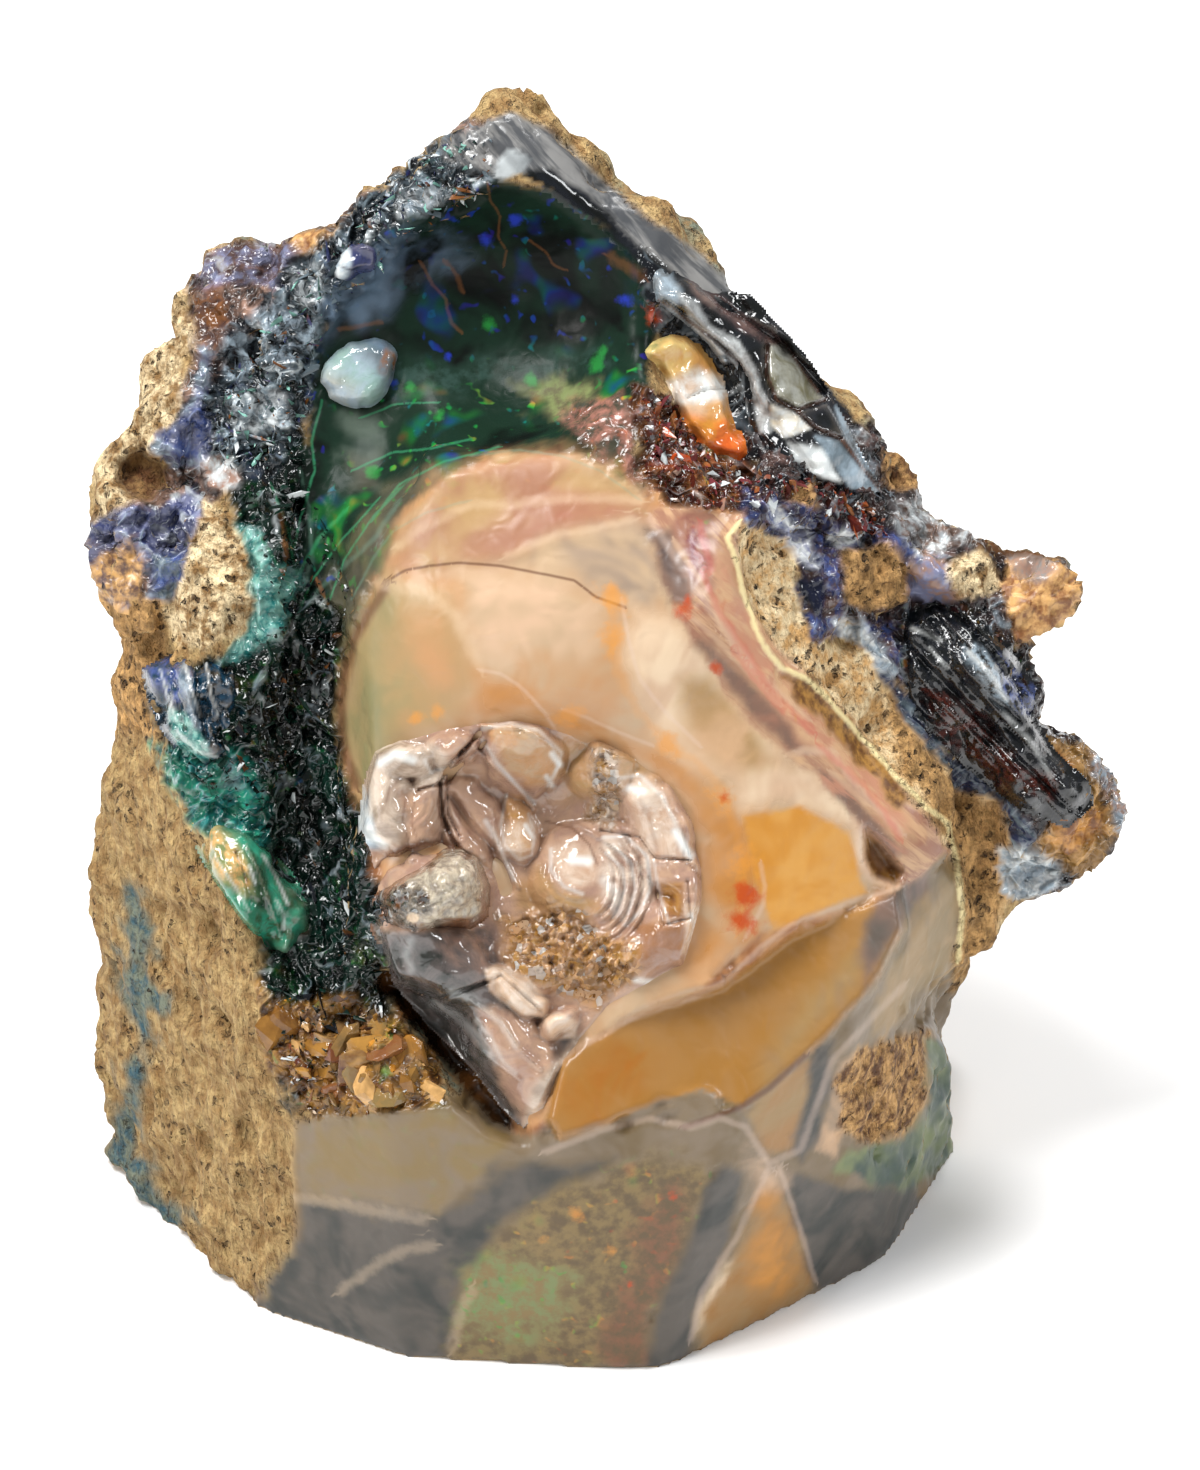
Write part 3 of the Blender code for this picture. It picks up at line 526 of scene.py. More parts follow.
class Skin:
    """A mesh's points, in millimetres, and what its shaping needs to know of each."""

    def __init__(self, piece):
        self.mesh = piece.data
        self.read()
        self.edges = numbers(self.mesh.edges, "vertices", 2).astype(int)

    def read(self):
        self.points = numbers(self.mesh.vertices, "co", 3) / MM
        self.outward = numbers(self.mesh.vertices, "normal", 3)
        self.spots = on_sheet(self.points)
        self.facing = smoothstep(*FACE_TURN, -(self.outward @ SHEET_IN))

    def write(self):
        self.mesh.vertices.foreach_set("co", (self.points * MM).ravel())
        self.mesh.update()
        self.read()

    def relax(self, share, rounds):
        """Draws each point towards the middle of its neighbours."""
        first, second = self.edges.T
        count = np.bincount(self.edges.ravel(), minlength=len(self.points))[:, None]
        for _ in range(rounds):
            total = np.zeros_like(self.points)
            for axis in range(3):
                total[:, axis] = np.bincount(
                    first, self.points[second, axis], len(count)
                ) + np.bincount(second, self.points[first, axis], len(count))
            self.points += share[:, None] * (total / count - self.points)
        self.write()

    def inside(self, outline, edge=0.5):
        """1 inside an outline on the face, 0 outside it."""
        depth = depth_inside(self.spots, outline)
        return self.facing * smoothstep(-edge / 2, edge / 2, depth)


AREA_OUTLINES = {row[0]: row[-1] for row in AREAS}


def collection():
    """The collection that holds the finished pieces."""
    home = bpy.data.collections.get("Wood opal")
    if home is None:
        home = bpy.data.collections.new("Wood opal")
        bpy.context.scene.collection.children.link(home)
    return home


def show(name, mesh, *materials):
    """Puts a finished mesh on the stone in place of its plain solid."""
    piece = bpy.data.objects.new(name, mesh)
    collection().objects.link(piece)
    mesh.materials.clear()
    for material in materials:
        mesh.materials.append(material)
    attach(piece, BODY)
    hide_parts(NODE)
    return piece


def remeshed(grain):
    """The plain solid's mesh again, in even squares of that size."""
    helper = bpy.data.objects.new("Remesh helper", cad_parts[NODE].data.copy())
    bpy.context.scene.collection.objects.link(helper)
    step = helper.modifiers.new("Even squares", "REMESH")
    step.mode = "VOXEL"
    step.voxel_size = grain
    graph = bpy.context.evaluated_depsgraph_get()
    mesh = bpy.data.meshes.new_from_object(helper.evaluated_get(graph))
    bpy.data.objects.remove(helper)
    return mesh


# ---------------------------------------------------------------- finishes
class Finish:
    """One material, laid out node by node. Places are in millimetres of the stone."""

    def __init__(self, name):
        self.material = bpy.data.materials.new(name)
        self.material.use_nodes = True
        self.tree = self.material.node_tree
        self.shader = self.tree.nodes["Principled BSDF"]
        spots = self.node("TexCoord").outputs["Object"]
        self.place = self.scaled(spots, (1000.0, 1000.0, 1000.0))

    def put(self, socket, value):
        if isinstance(value, bpy.types.NodeSocket):
            self.tree.links.new(value, socket)
        elif value is not None:
            if socket.type == "RGBA" and len(value) == 3:
                value = (*value, 1.0)
            socket.default_value = value

    def node(self, kind, sockets=(), **settings):
        """A new node. sockets pairs each socket's name or number with its value or link."""
        node = self.tree.nodes.new("ShaderNode" + kind)
        for key, value in settings.items():
            setattr(node, key, value)
        for key, value in sockets:
            self.put(node.inputs[key], value)
        return node

    def vector(self, operation, *values):
        return self.node("VectorMath", enumerate(values), operation=operation).outputs[0]

    def scaled(self, vector, factors):
        return self.vector("MULTIPLY", vector, factors)

    def math(self, operation, *values):
        return self.node("Math", enumerate(values), operation=operation).outputs[0]

    def soft(self, value, low, high):
        """0 up to low, 1 from high on, and a smooth rise between them."""
        ends = (("Value", value), ("From Min", low), ("From Max", high))
        return self.node("MapRange", ends, interpolation_type="SMOOTHSTEP").outputs[0]

    def mix(self, share, first, second):
        """A colour between two others."""
        return self.node("Mix", ((0, share), (6, first), (7, second)), data_type="RGBA").outputs[2]

    def blend(self, share, first, second):
        """A number between two others."""
        return self.node("Mix", ((0, share), (2, first), (3, second))).outputs[0]

    def kept(self, name):
        """A number that the mesh keeps for each point."""
        return self.node("Attribute", attribute_name=name).outputs["Fac"]

    def painted(self, name):
        """A colour that the mesh keeps for each point."""
        return self.node("Attribute", attribute_name=name).outputs["Color"]

    def noise(self, size, detail=3.0, warp=0.0, stretch=(1.0, 1.0, 1.0), shift=0.0, turn=0.0):
        """Noise with features about that size, turned about Y and stretched."""
        place = self.place
        if turn:
            ends = (("Angle", turn), ("Vector", place))
            place = self.node("VectorRotate", ends, rotation_type="Y_AXIS").outputs[0]
        moved = self.scaled(place, tuple(1.0 / (size * s) for s in stretch))
        moved = self.vector("ADD", moved, (shift, shift * 0.7, -shift))
        return self.node("TexNoise", (
            ("Vector", moved), ("Scale", 1.0), ("Detail", detail), ("Roughness", 0.6),
            ("Distortion", warp),
        )).outputs["Fac"]

    def cells(self, size, warp):
        """The distance to the nearest of scattered points."""
        moved = self.vector("ADD", self.scaled(self.place, (1.0 / size,) * 3), warp)
        return self.node("TexVoronoi", (("Vector", moved), ("Scale", 1.0))).outputs["Distance"]

    def ramp(self, value, *stops):
        """A colour picked along (place, colour) stops."""
        node = self.node("ValToRGB", ((0, value),))
        steps = node.color_ramp.elements
        while len(steps) < len(stops):
            steps.new(0.5)
        for step, (place, colour) in zip(steps, stops):
            step.position = place
            step.color = (*colour, 1.0)
        return node.outputs[0]

    def facets(self, size, shift=0.0):
        """(height of flat facets that lean at random, a colour at random for each)."""
        moved = self.vector("ADD", self.scaled(self.place, (1.0 / size,) * 3), (shift,) * 3)
        node = self.node("TexVoronoi", (("Scale", 1.0), ("Vector", moved)))
        gap = self.vector("SUBTRACT", moved, node.outputs["Position"])
        lean = self.vector("SUBTRACT", node.outputs["Color"], (0.5, 0.5, 0.5))
        dot = self.node("VectorMath", ((0, gap), (1, lean)), operation="DOT_PRODUCT")
        return dot.outputs["Value"], node.outputs["Color"]

    def parts_of(self, colour):
        return self.node("SeparateColor", ((0, colour),)).outputs

    def bump(self, height, depth, below=None):
        """Roughens the surface by a height from 0 to 1 that is depth millimetres deep."""
        ends = (("Strength", 1.0), ("Distance", depth * MM), ("Height", height), ("Normal", below))
        return self.node("Bump", ends).outputs[0]

    def wear(self, colour, roughness, normal=None, **sockets):
        """Puts the finish on the shader, and gives back the material."""
        sockets.update(Base_Color=colour, Roughness=roughness, Normal=normal)
        for name, value in sockets.items():
            self.put(self.shader.inputs[name.replace("_", " ")], value)
        return self.material


# The play of colour, from violet to red.
PLAY_STOPS = [
    (0.00, "2a1c86"), (0.14, "1d3aa6"), (0.28, "12687c"), (0.42, "17803c"), (0.55, "2f9a3a"),
    (0.66, "86a03a"), (0.76, "c98a3a"), (0.88, "b4582c"), (1.00, "8c2f24"),
]
# area: (how flecked, hue from 0 violet over 0.5 green to 1 red)
FLECKED = {
    "bowl": (0.45, 0.14), "bowl_green": (0.7, 0.46), "crumb_dark": (0.3, 0.5),
    "bowl_rose": (0.5, 0.85), "bowl_smear": (0.1, 0.1), "red_crystals": (0.6, 0.97),
    "low_moss": (0.45, 0.74), "low_green": (0.5, 0.52), "low_umber": (0.3, 0.9),
    "pink_cap": (0.1, 0.95), "strip_pink": (0.2, 0.95), "striated": (0.35, 0.85),
    "crumb_gold": (0.35, 0.6), "glass_high": (0.2, 0.15), "low_left": (0.05, 0.6),
    "strip_crimson": (0.5, 0.97), "bowl_halo": (0.3, 0.5),
}
# Broken glass: area: (how crumpled it is, how strong the painted highlights on its fold crests are)
BROKEN = {
    "left_glass": (0.8, 0.7), "lilac_bump": (0.5, 0.7), "rust_bump": (0.5, 0.4),
    "gold_crumb": (0.8, 0.4), "blue_patch": (0.7, 0.3), "blue_streak": (0.6, 0.3),
    "glass_high": (1.0, 0.9), "crumb_dark": (1.0, 0.35), "red_crystals": (1.0, 0.3),
    "fire_crystals": (0.9, 0.3), "striated": (0.5, 0.45), "violet_high": (0.6, 0.6),
    "violet_low": (0.7, 0.8), "blue_glass": (0.8, 0.6), "toe_tip": (0.7, 0.2),
    "teal_seam": (0.6, 0.5), "crumb_gold": (0.8, 0.1), "slate_seam": (0.4, 0.5),
    "flute_dark": (0.4, 0.5), "bowl_rose": (0.3, 0.1), "bowl_green": (0.05, 0.0),
    "right_glass": (0.9, 0.5), "bowl_smear": (0.05, 0.0), "silver_patch": (0.6, 0.8),
    "silver_high": (0.7, 1.0), "silver_top": (0.7, 1.0), "silver_strip": (0.7, 1.0),
    "right_top": (0.7, 0.4), "gold_shards": (0.8, 0.7), "teal_flow": (0.8, 0.6),
    "toe_edge": (0.6, 0.5), "toe_blue": (0.6, 0.5), "blue_hollow": (0.3, 0.0),
    "blue_rim": (0.3, 0.2), "seam_light": (0.6, 0.5), "knob_top": (0.15, 0.1),
    "heart_crumbs": (1.0, 0.5), "high_crumbs": (1.0, 1.0), "knob_dark": (1.0, 0.3),
    "silver": (0.5, 0.5),
}
# Opal that is clear and deep, so its surface shines less.
DEEP_AREAS = {
    "bowl", "bowl_smear", "bowl_green", "bowl_veil", "bowl_block", "bowl_pane", "bowl_haze",
    "bowl_edge",
}
# What is kept for each point besides its paint.
KEPT = ("flecked", "hue", "shards", "streaky", "silver", "pitted", "deep")
# pattern: how fine it is
PATTERNS = {
    "fine": 1.0, "grit": 1.0, "fibre": 0.8, "streak": 0.4, "bands": 0.3, "cloud": 0.1, "swirl": 0.0,
}
# group: (colour, strength, how far it wanders)
LINES = {
    "dark_crack": ("crack_dark", 0.7, 0.4), "pale_vein": ("vein_pale", 0.25, 1.2),
    "gold_vein": ("spot_orange", 0.22, 2.5), "haze_line": ("cloud_white", 0.2, 2.0),
    "yellow_crust": ("crust_yellow", 0.8, 2.6), "wisp": ("wisp_pale", 0.22, 2.5),
    "copper_line": ("copper", 0.3, 3.0), "lilac_line": ("cream_rose", 0.5, 1.0),
    "rose_line": ("spot_rose", 0.35, 2.4), "green_strand": ("strand_green", 0.38, 2.4),
    "fire_strand": ("copper", 0.6, 2.0),
}
# group: (colour, strength)
SPOT_COLOURS = {
    "orange_spot": ("spot_orange", 0.6), "red_spot": ("spot_red", 0.9),
    "blue_spot": ("spot_blue", 0.6), "green_spot": ("spot_green", 0.6),
}


def painted_base(f):
    """(colour, ragged noise about 0) from the paint kept on the points."""
    cloud = f.soft(f.noise(4.5, 2.0, 0.8), 0.33, 0.67)
    fine = f.soft(f.noise(1.0, 5.0), 0.36, 0.64)
    streak = f.soft(f.noise(0.55, 3.0, 0.3, (9.0, 3.0, 1.0), turn=-0.8), 0.38, 0.62)
    pattern = f.blend(f.kept("fineness"), cloud, fine)
    pattern = f.blend(f.kept("streaky"), pattern, streak)
    colour = f.mix(pattern, f.painted("paint_first"), f.painted("paint_second"))
    return colour, f.math("SUBTRACT", f.noise(1.1, 4.0, shift=3.0), 0.5)


def add_lines(f, groups, colour, ragged, colours):
    """Draws the groups of thin lines over a colour."""
    for group in groups:
        key, strength, wander = LINES[group]
        side = f.math("ABSOLUTE", f.math("MULTIPLY_ADD", ragged, wander, f.kept("side_" + group)))
        near = f.soft(f.kept("near_" + group), 7.8, 8.2)
        line = f.math("SUBTRACT", 1.0, f.soft(side, 0.1, 1.6))
        line = f.math("MULTIPLY", f.math("MULTIPLY", line, near), strength)
        colour = f.mix(line, colour, colours[key])
    return colour


def rind_finish(colours):
    """Petrified wood: fibres, grain, pits painted dark as their shade, and dark specks."""
    f = Finish("Rind")
    colour, ragged = painted_base(f)
    colour = add_lines(f, ["yellow_crust"], colour, ragged, colours)
    fibre = f.noise(0.40, 4.0, 0.4, (1.0, 1.0, 6.0), turn=0.12)
    pitted = f.kept("pitted")
    gap = f.cells(0.85, warp=f.scaled(f.noise(0.8, 3.0), (1.6, 1.6, 1.6)))
    few = f.soft(f.math("MULTIPLY_ADD", pitted, 0.14, f.noise(2.6, 2.0, shift=12.0)), 0.62, 0.46)
    pit = f.math("MAXIMUM", f.soft(gap, 0.12, 0.36), few)
    speck = f.soft(f.noise(0.5, 3.0, shift=6.0), 0.56, 0.68)
    broad = f.noise(2.2, 4.0, shift=2.0)
    shade = f.math("MULTIPLY", f.soft(fibre, 0.60, 0.34), 0.4)
    colour = f.mix(shade, colour, f.scaled(colour, (0.46, 0.38, 0.30)))
    light = f.math("MULTIPLY", f.soft(broad, 0.50, 0.72), 0.30)
    colour = f.mix(light, colour, f.scaled(colour, (1.45, 1.42, 1.35)))
    # Painted shade: the pits darken, in the same dark brown as the specks.
    dark = f.math("MAXIMUM", f.math("SUBTRACT", 1.0, pit), f.math("MULTIPLY", speck, 0.5))
    colour = f.mix(
        f.math("MULTIPLY", dark, f.blend(pitted, 0.66, 0.88)), colour, colours["pit_dark"]
    )
    normal = f.bump(f.math("ADD", fibre, f.math("MULTIPLY", pit, 0.9)), 0.6)
    normal = f.bump(broad, 1.0, normal)
    return f.wear(colour, f.kept("roughness"), normal, IOR=1.45)


def opal_finish(colours, name, shine):
    """Opal and glass: soft paint, veins, spots and flecks, and crumpled folds where it broke, with
    painted shade off their crests and painted highlights on them.
    """
    f = Finish(name)
    colour, ragged = painted_base(f)
    colour = add_lines(f, LINES, colour, ragged, colours)
    for group, (key, strength) in SPOT_COLOURS.items():
        near = f.math("MULTIPLY_ADD", ragged, 2.0, f.kept("spot_" + group))
        near = f.math("MULTIPLY", f.soft(near, 0.1, 0.9), strength)
        colour = f.mix(near, colour, colours[key])
    wander = f.math("SUBTRACT", f.noise(1.8, 1.0, shift=8.0), 0.5)
    hue = f.math("MULTIPLY_ADD", wander, 1.1, f.kept("hue"))
    hue = f.ramp(hue, *[(place, linear(code)) for place, code in PLAY_STOPS])
    big = f.soft(f.noise(3.2, 1.0, 0.4, shift=5.0), 0.58, 0.76)
    small = f.soft(f.noise(0.9, 1.0, 0.2, shift=11.0), 0.62, 0.74)
    seen = f.math("MAXIMUM", f.math("MULTIPLY", big, 0.6), small)
    colour = f.mix(f.math("MULTIPLY", seen, f.kept("flecked")), colour, hue)
    # Crumpled glass: painted shade darkens it off its crests, and painted highlights whiten the
    # crests.
    shards = f.kept("shards")
    wide = f.math("ABSOLUTE", f.math("SUBTRACT", f.noise(3.4, 1.0, 1.0, shift=1.0), 0.5))
    narrow = f.math("ABSOLUTE", f.math("SUBTRACT", f.noise(1.3, 1.0, 0.8, shift=9.0), 0.5))
    valley = f.math("MULTIPLY", f.math("MULTIPLY", f.soft(wide, 0.02, 0.10), 0.8), shards)
    colour = f.mix(valley, colour, f.scaled(colour, (0.10, 0.10, 0.12)))
    here = f.soft(f.noise(2.0, 1.0, shift=4.0), 0.44, 0.58)
    stroke = f.math("MULTIPLY", f.soft(wide, 0.055, 0.0), here)
    here = f.soft(f.noise(1.7, 1.0, shift=14.0), 0.50, 0.62)
    glint = f.math("MULTIPLY", f.soft(narrow, 0.03, 0.0), here)
    crest = f.math("MAXIMUM", stroke, f.math("MULTIPLY", glint, 0.8))
    silver = f.math("MULTIPLY", f.math("MULTIPLY", crest, shards), f.kept("silver"))
    tone = f.soft(f.noise(2.4, 1.0, shift=7.0), 0.42, 0.60)
    colour = f.mix(silver, colour, f.mix(tone, colours["crest_white"], colours["slate_pale"]))
    fold = f.math("MULTIPLY_ADD", narrow, -0.6, f.math("MULTIPLY", wide, -2.0))
    normal = f.bump(f.math("MULTIPLY", fold, shards), 1.6)
    normal = f.bump(f.noise(1.6, 1.0, 0.5), 0.10, normal)
    return f.wear(colour, f.kept("roughness"), normal, IOR=1.45, Specular_IOR_Level=shine)


# ---------------------------------------------------------------- the stone's body
SMOOTH_AREAS = ["peach", "bowl", "band_dark", "band_grey", "honey_facet", "orange_facet", "strip"]
GROUND_AREAS = [
    "low_left", "low_slate", "low_violet", "low_moss", "low_stripe", "low_orange",
    "low_dark_right", "right_facet",
]
# A ground facet, and three spots of the sheet that its plane goes through.
FLAT_FACET = ("orange_facet", path("0,-209 168,-122 94,-244"))
# Crumpled glass: area, height mm.
CRUMPLED = [
    ("left_glass", 0.7), ("right_glass", 0.7), ("glass_high", 1.0), ("crumb_dark", 0.7),
    ("red_crystals", 0.7), ("violet_low", 0.6), ("violet_high", 0.5), ("blue_glass", 0.6),
    ("toe_tip", 0.6), ("teal_seam", 0.5), ("crumb_gold", 0.7), ("tips", 0.6),
    ("bowl_rose", 0.4), ("teal_flow", 0.6),
]
LINED_AREAS = ["striated", "flute_dark", "slate_seam"]
# Steps pressed into the face: area, depth mm, edge mm. A negative depth raises it.
FACE_STEPS = [
    ("pink_cap", -0.14, 0.8), ("notch", 1.6, 0.7), ("crevice", 1.2, 0.8), ("crust_cup", 2.0, 1.0),
    ("tip_block", -0.9, 0.8),
]


def surface_tree(mesh, points):
    """A mesh's surface, with its points in millimetres, for rays to meet."""
    return BVHTree.FromPolygons(
        [Vector(p) for p in points], [tuple(p.vertices) for p in mesh.polygons]
    )


def stone_surface():
    """The finished face's mesh, and its points in millimetres."""
    mesh = bpy.data.objects["stone_face"].data
    return mesh, numbers(mesh.vertices, "co", 3) / MM


def shape_body(skin):
    """Smooth where the stone is ground or glassy, and rough rind elsewhere."""
    smooth = np.max([skin.inside(AREA_OUTLINES[name], 1.0) for name in SMOOTH_AREAS], axis=0)
    ground = np.max([skin.inside(AREA_OUTLINES[name], 1.0) for name in GROUND_AREAS], axis=0)
    level = skin.points[:, 2] > GROUND_LEVEL
    for reach, right, up, (spot,) in NUDGES:
        share = level * np.exp(-(np.hypot(*(skin.spots - spot).T) / reach) ** 2)
        skin.points += share[:, None] * (right * SHEET_RIGHT + up * SHEET_UP)
    skin.relax(level * np.maximum(0.25, 0.8 * smooth), 6)
    skin.relax(level * smooth * 0.8, 30)
    press_flat(skin, *FLAT_FACET)
    # The rind: swells, pits, and long fibres at its left side.
    rind = level * (1.0 - np.maximum(smooth, ground))
    height = rind * 0.35 * fractal(skin.points, 2.4, 4)
    side = rind * (skin.points[:, 0] < -20.0)
    height -= (rind - 0.8 * side) * 0.5 * pits(skin.points, 2.6, 0.34)
    height += side * 0.34 * fractal(skin.points / (0.7, 0.7, 7.0), 1.0, 3)
    ridges = 0.5 - np.abs(fractal(skin.points, 1.7, 4, 5.0))
    for name, tall in CRUMPLED:
        height += tall * skin.inside(AREA_OUTLINES[name], 1.0) * ridges
    # Glass with fine ridges that lean to the right.
    turned = skin.points[:, [0, 2]] @ ((0.707, -0.707), (0.707, 0.707))
    turned = np.column_stack([turned[:, 1] / 0.8, turned[:, 0] / 6.0, skin.points[:, 1] / 3.0])
    lined = np.max([skin.inside(AREA_OUTLINES[name], 1.0) for name in LINED_AREAS], axis=0)
    where = np.flatnonzero(lined)
    height[where] += lined[where] * 0.45 * (0.5 - np.abs(fractal(turned[where], 1.0, 3, 2.0)))
    for group, _, line in VEINS:
        if group == "yellow_crust":
            gap, _, _ = side_gaps(skin.spots, line, closed=False)
            height += skin.facing * 0.3 * (1.0 - smoothstep(0.1, 0.45, gap))
    skin.points += skin.outward * height[:, None]
    for name, depth, edge in FACE_STEPS:
        skin.points += (skin.inside(AREA_OUTLINES[name], edge) * depth)[:, None] * SHEET_IN
    skin.write()


def press_flat(skin, area, corners):
    """Presses the area onto the plane through the surface at three spots of the sheet."""
    tree = surface_tree(skin.mesh, skin.points)
    ways = sight_lines(corners)
    found = [tree.ray_cast(Vector(EYE), Vector(way))[0] for way in ways]
    a, b, c = [np.array(spot) for spot in found]
    square = np.cross(b - a, c - a)
    ways = skin.points - EYE
    ways /= np.linalg.norm(ways, axis=1)[:, None]
    reach = ((a - EYE) @ square) / (ways @ square)
    target = EYE + reach[:, None] * ways
    share = skin.inside(AREA_OUTLINES[area], 0.8)[:, None]
    skin.points += share * (target - skin.points)
    skin.write()


def paint(mesh, points, spots, away, rows, base):
    """Paints areas over a base on a mesh's points, and keeps what the finish reads.

    away is positive where a point can be painted at all, in millimetres from where it can't."""
    count = len(points)
    ragged = fractal(points, 2.2, 5, 3.0)
    first, second, fineness, roughness = [np.array(part) for part in base]
    kept = {name: np.zeros(count) for name in KEPT}
    for name, one, other, pattern, edge, wobble, rough, outline in rows:
        depth = np.minimum(depth_inside(spots, outline) + wobble * 0.9 * ragged, away)
        share = smoothstep(-edge / 2, edge / 2, depth)
        first = first + share[:, None] * (np.array(palette()[one]) - first)
        second = second + share[:, None] * (np.array(palette()[other]) - second)
        fineness = fineness + share * (PATTERNS[pattern] - fineness)
        roughness = roughness + share * (rough - roughness)
        flecked, hue = FLECKED.get(name, (0.0, 0.5))
        crumpled, silver = BROKEN.get(name, (0.0, 0.0))
        for key, value in (
            ("flecked", flecked), ("hue", hue), ("shards", crumpled), ("silver", silver),
            ("streaky", 0.85 * (pattern in ("streak", "bands"))), ("pitted", pattern == "grit"),
            ("deep", name in DEEP_AREAS),
        ):
            kept[key] += share * (value - kept[key])
    for name, values in (("paint_first", first), ("paint_second", second)):
        layer = mesh.attributes.new(name, "FLOAT_COLOR", "POINT")
        layer.data.foreach_set("color", np.column_stack([values, np.ones(count)]).ravel())
    for name, values in (("fineness", fineness), ("roughness", roughness), *kept.items()):
        keep_numbers(mesh, name, values)


def paint_stone(skin):
    """Paints the rind, and every area of the face over it."""
    colours, count = palette(), len(skin.points)
    dull = smoothstep(0.1, 0.5, fractal(skin.points, 9.0, 4, 9.0))[:, None]
    tan, grey = np.array(colours["wood_tan"]), np.array(colours["wood_grey"])
    base = (tan + dull * (grey - tan), np.tile(colours["wood_brown"], (count, 1)),
            np.ones(count), np.full(count, 0.85))
    away = (skin.facing - PAINT_FROM) * PAINT_SPREAD
    paint(skin.mesh, skin.points, skin.spots, away, AREAS, base)


def mark_lines(skin):
    """Keeps, for each point, how near it is to the veins and the spots."""
    hidden = skin.facing < LINES_FROM
    for group in sorted({row[0] for row in VEINS}):
        best = np.full(len(skin.points), FAR_OFF)
        side = best.copy()
        for _, width, points in [row for row in VEINS if row[0] == group]:
            gap, _, signed = side_gaps(skin.spots, points, closed=False)
            closer = gap / width < best
            best[closer] = (gap / width)[closer]
            side[closer] = (signed / width)[closer]
        best[hidden] = FAR_OFF
        near = LINE_REACH - np.minimum(best, LINE_REACH) * 0.5
        keep_numbers(skin.mesh, "near_" + group, near)
        keep_numbers(skin.mesh, "side_" + group, np.clip(side, -LINE_REACH, LINE_REACH))
    for group in sorted(SPOT_COLOURS):
        near = np.full(len(skin.points), NO_SPOT)
        for _, radius, spots in [row for row in SPOTS if row[0] == group]:
            for spot in spots:
                near = np.maximum(near, 1.0 - np.hypot(*(skin.spots - spot).T) / radius)
        near[hidden] = NO_SPOT
        keep_numbers(skin.mesh, "spot_" + group, near)


def halve(mesh, level, keep_front):
    """Cuts the mesh along a plane across +Y at that level and closes the cut."""
    shape = bmesh.new()
    shape.from_mesh(mesh)
    cut = bmesh.ops.bisect_plane(
        shape, geom=shape.verts[:] + shape.edges[:] + shape.faces[:],
        plane_co=(0, level, 0), plane_no=(0, 1, 0),
        clear_outer=keep_front, clear_inner=not keep_front,
    )
    rim = [e for e in cut["geom_cut"] if isinstance(e, bmesh.types.BMEdge)]
    bmesh.ops.holes_fill(shape, edges=rim)
    for edge in rim:
        edge.smooth = False
    bmesh.ops.recalc_face_normals(shape, faces=shape.faces)
    bmesh.ops.triangulate(shape, faces=[face for face in shape.faces if len(face.verts) > 4])
    shape.to_mesh(mesh)
    shape.free()


# ---------------------------------------------------------------- glass laid on the face
# Lobes join as the fifth root of the sum of their fifth powers.
JOIN = 5


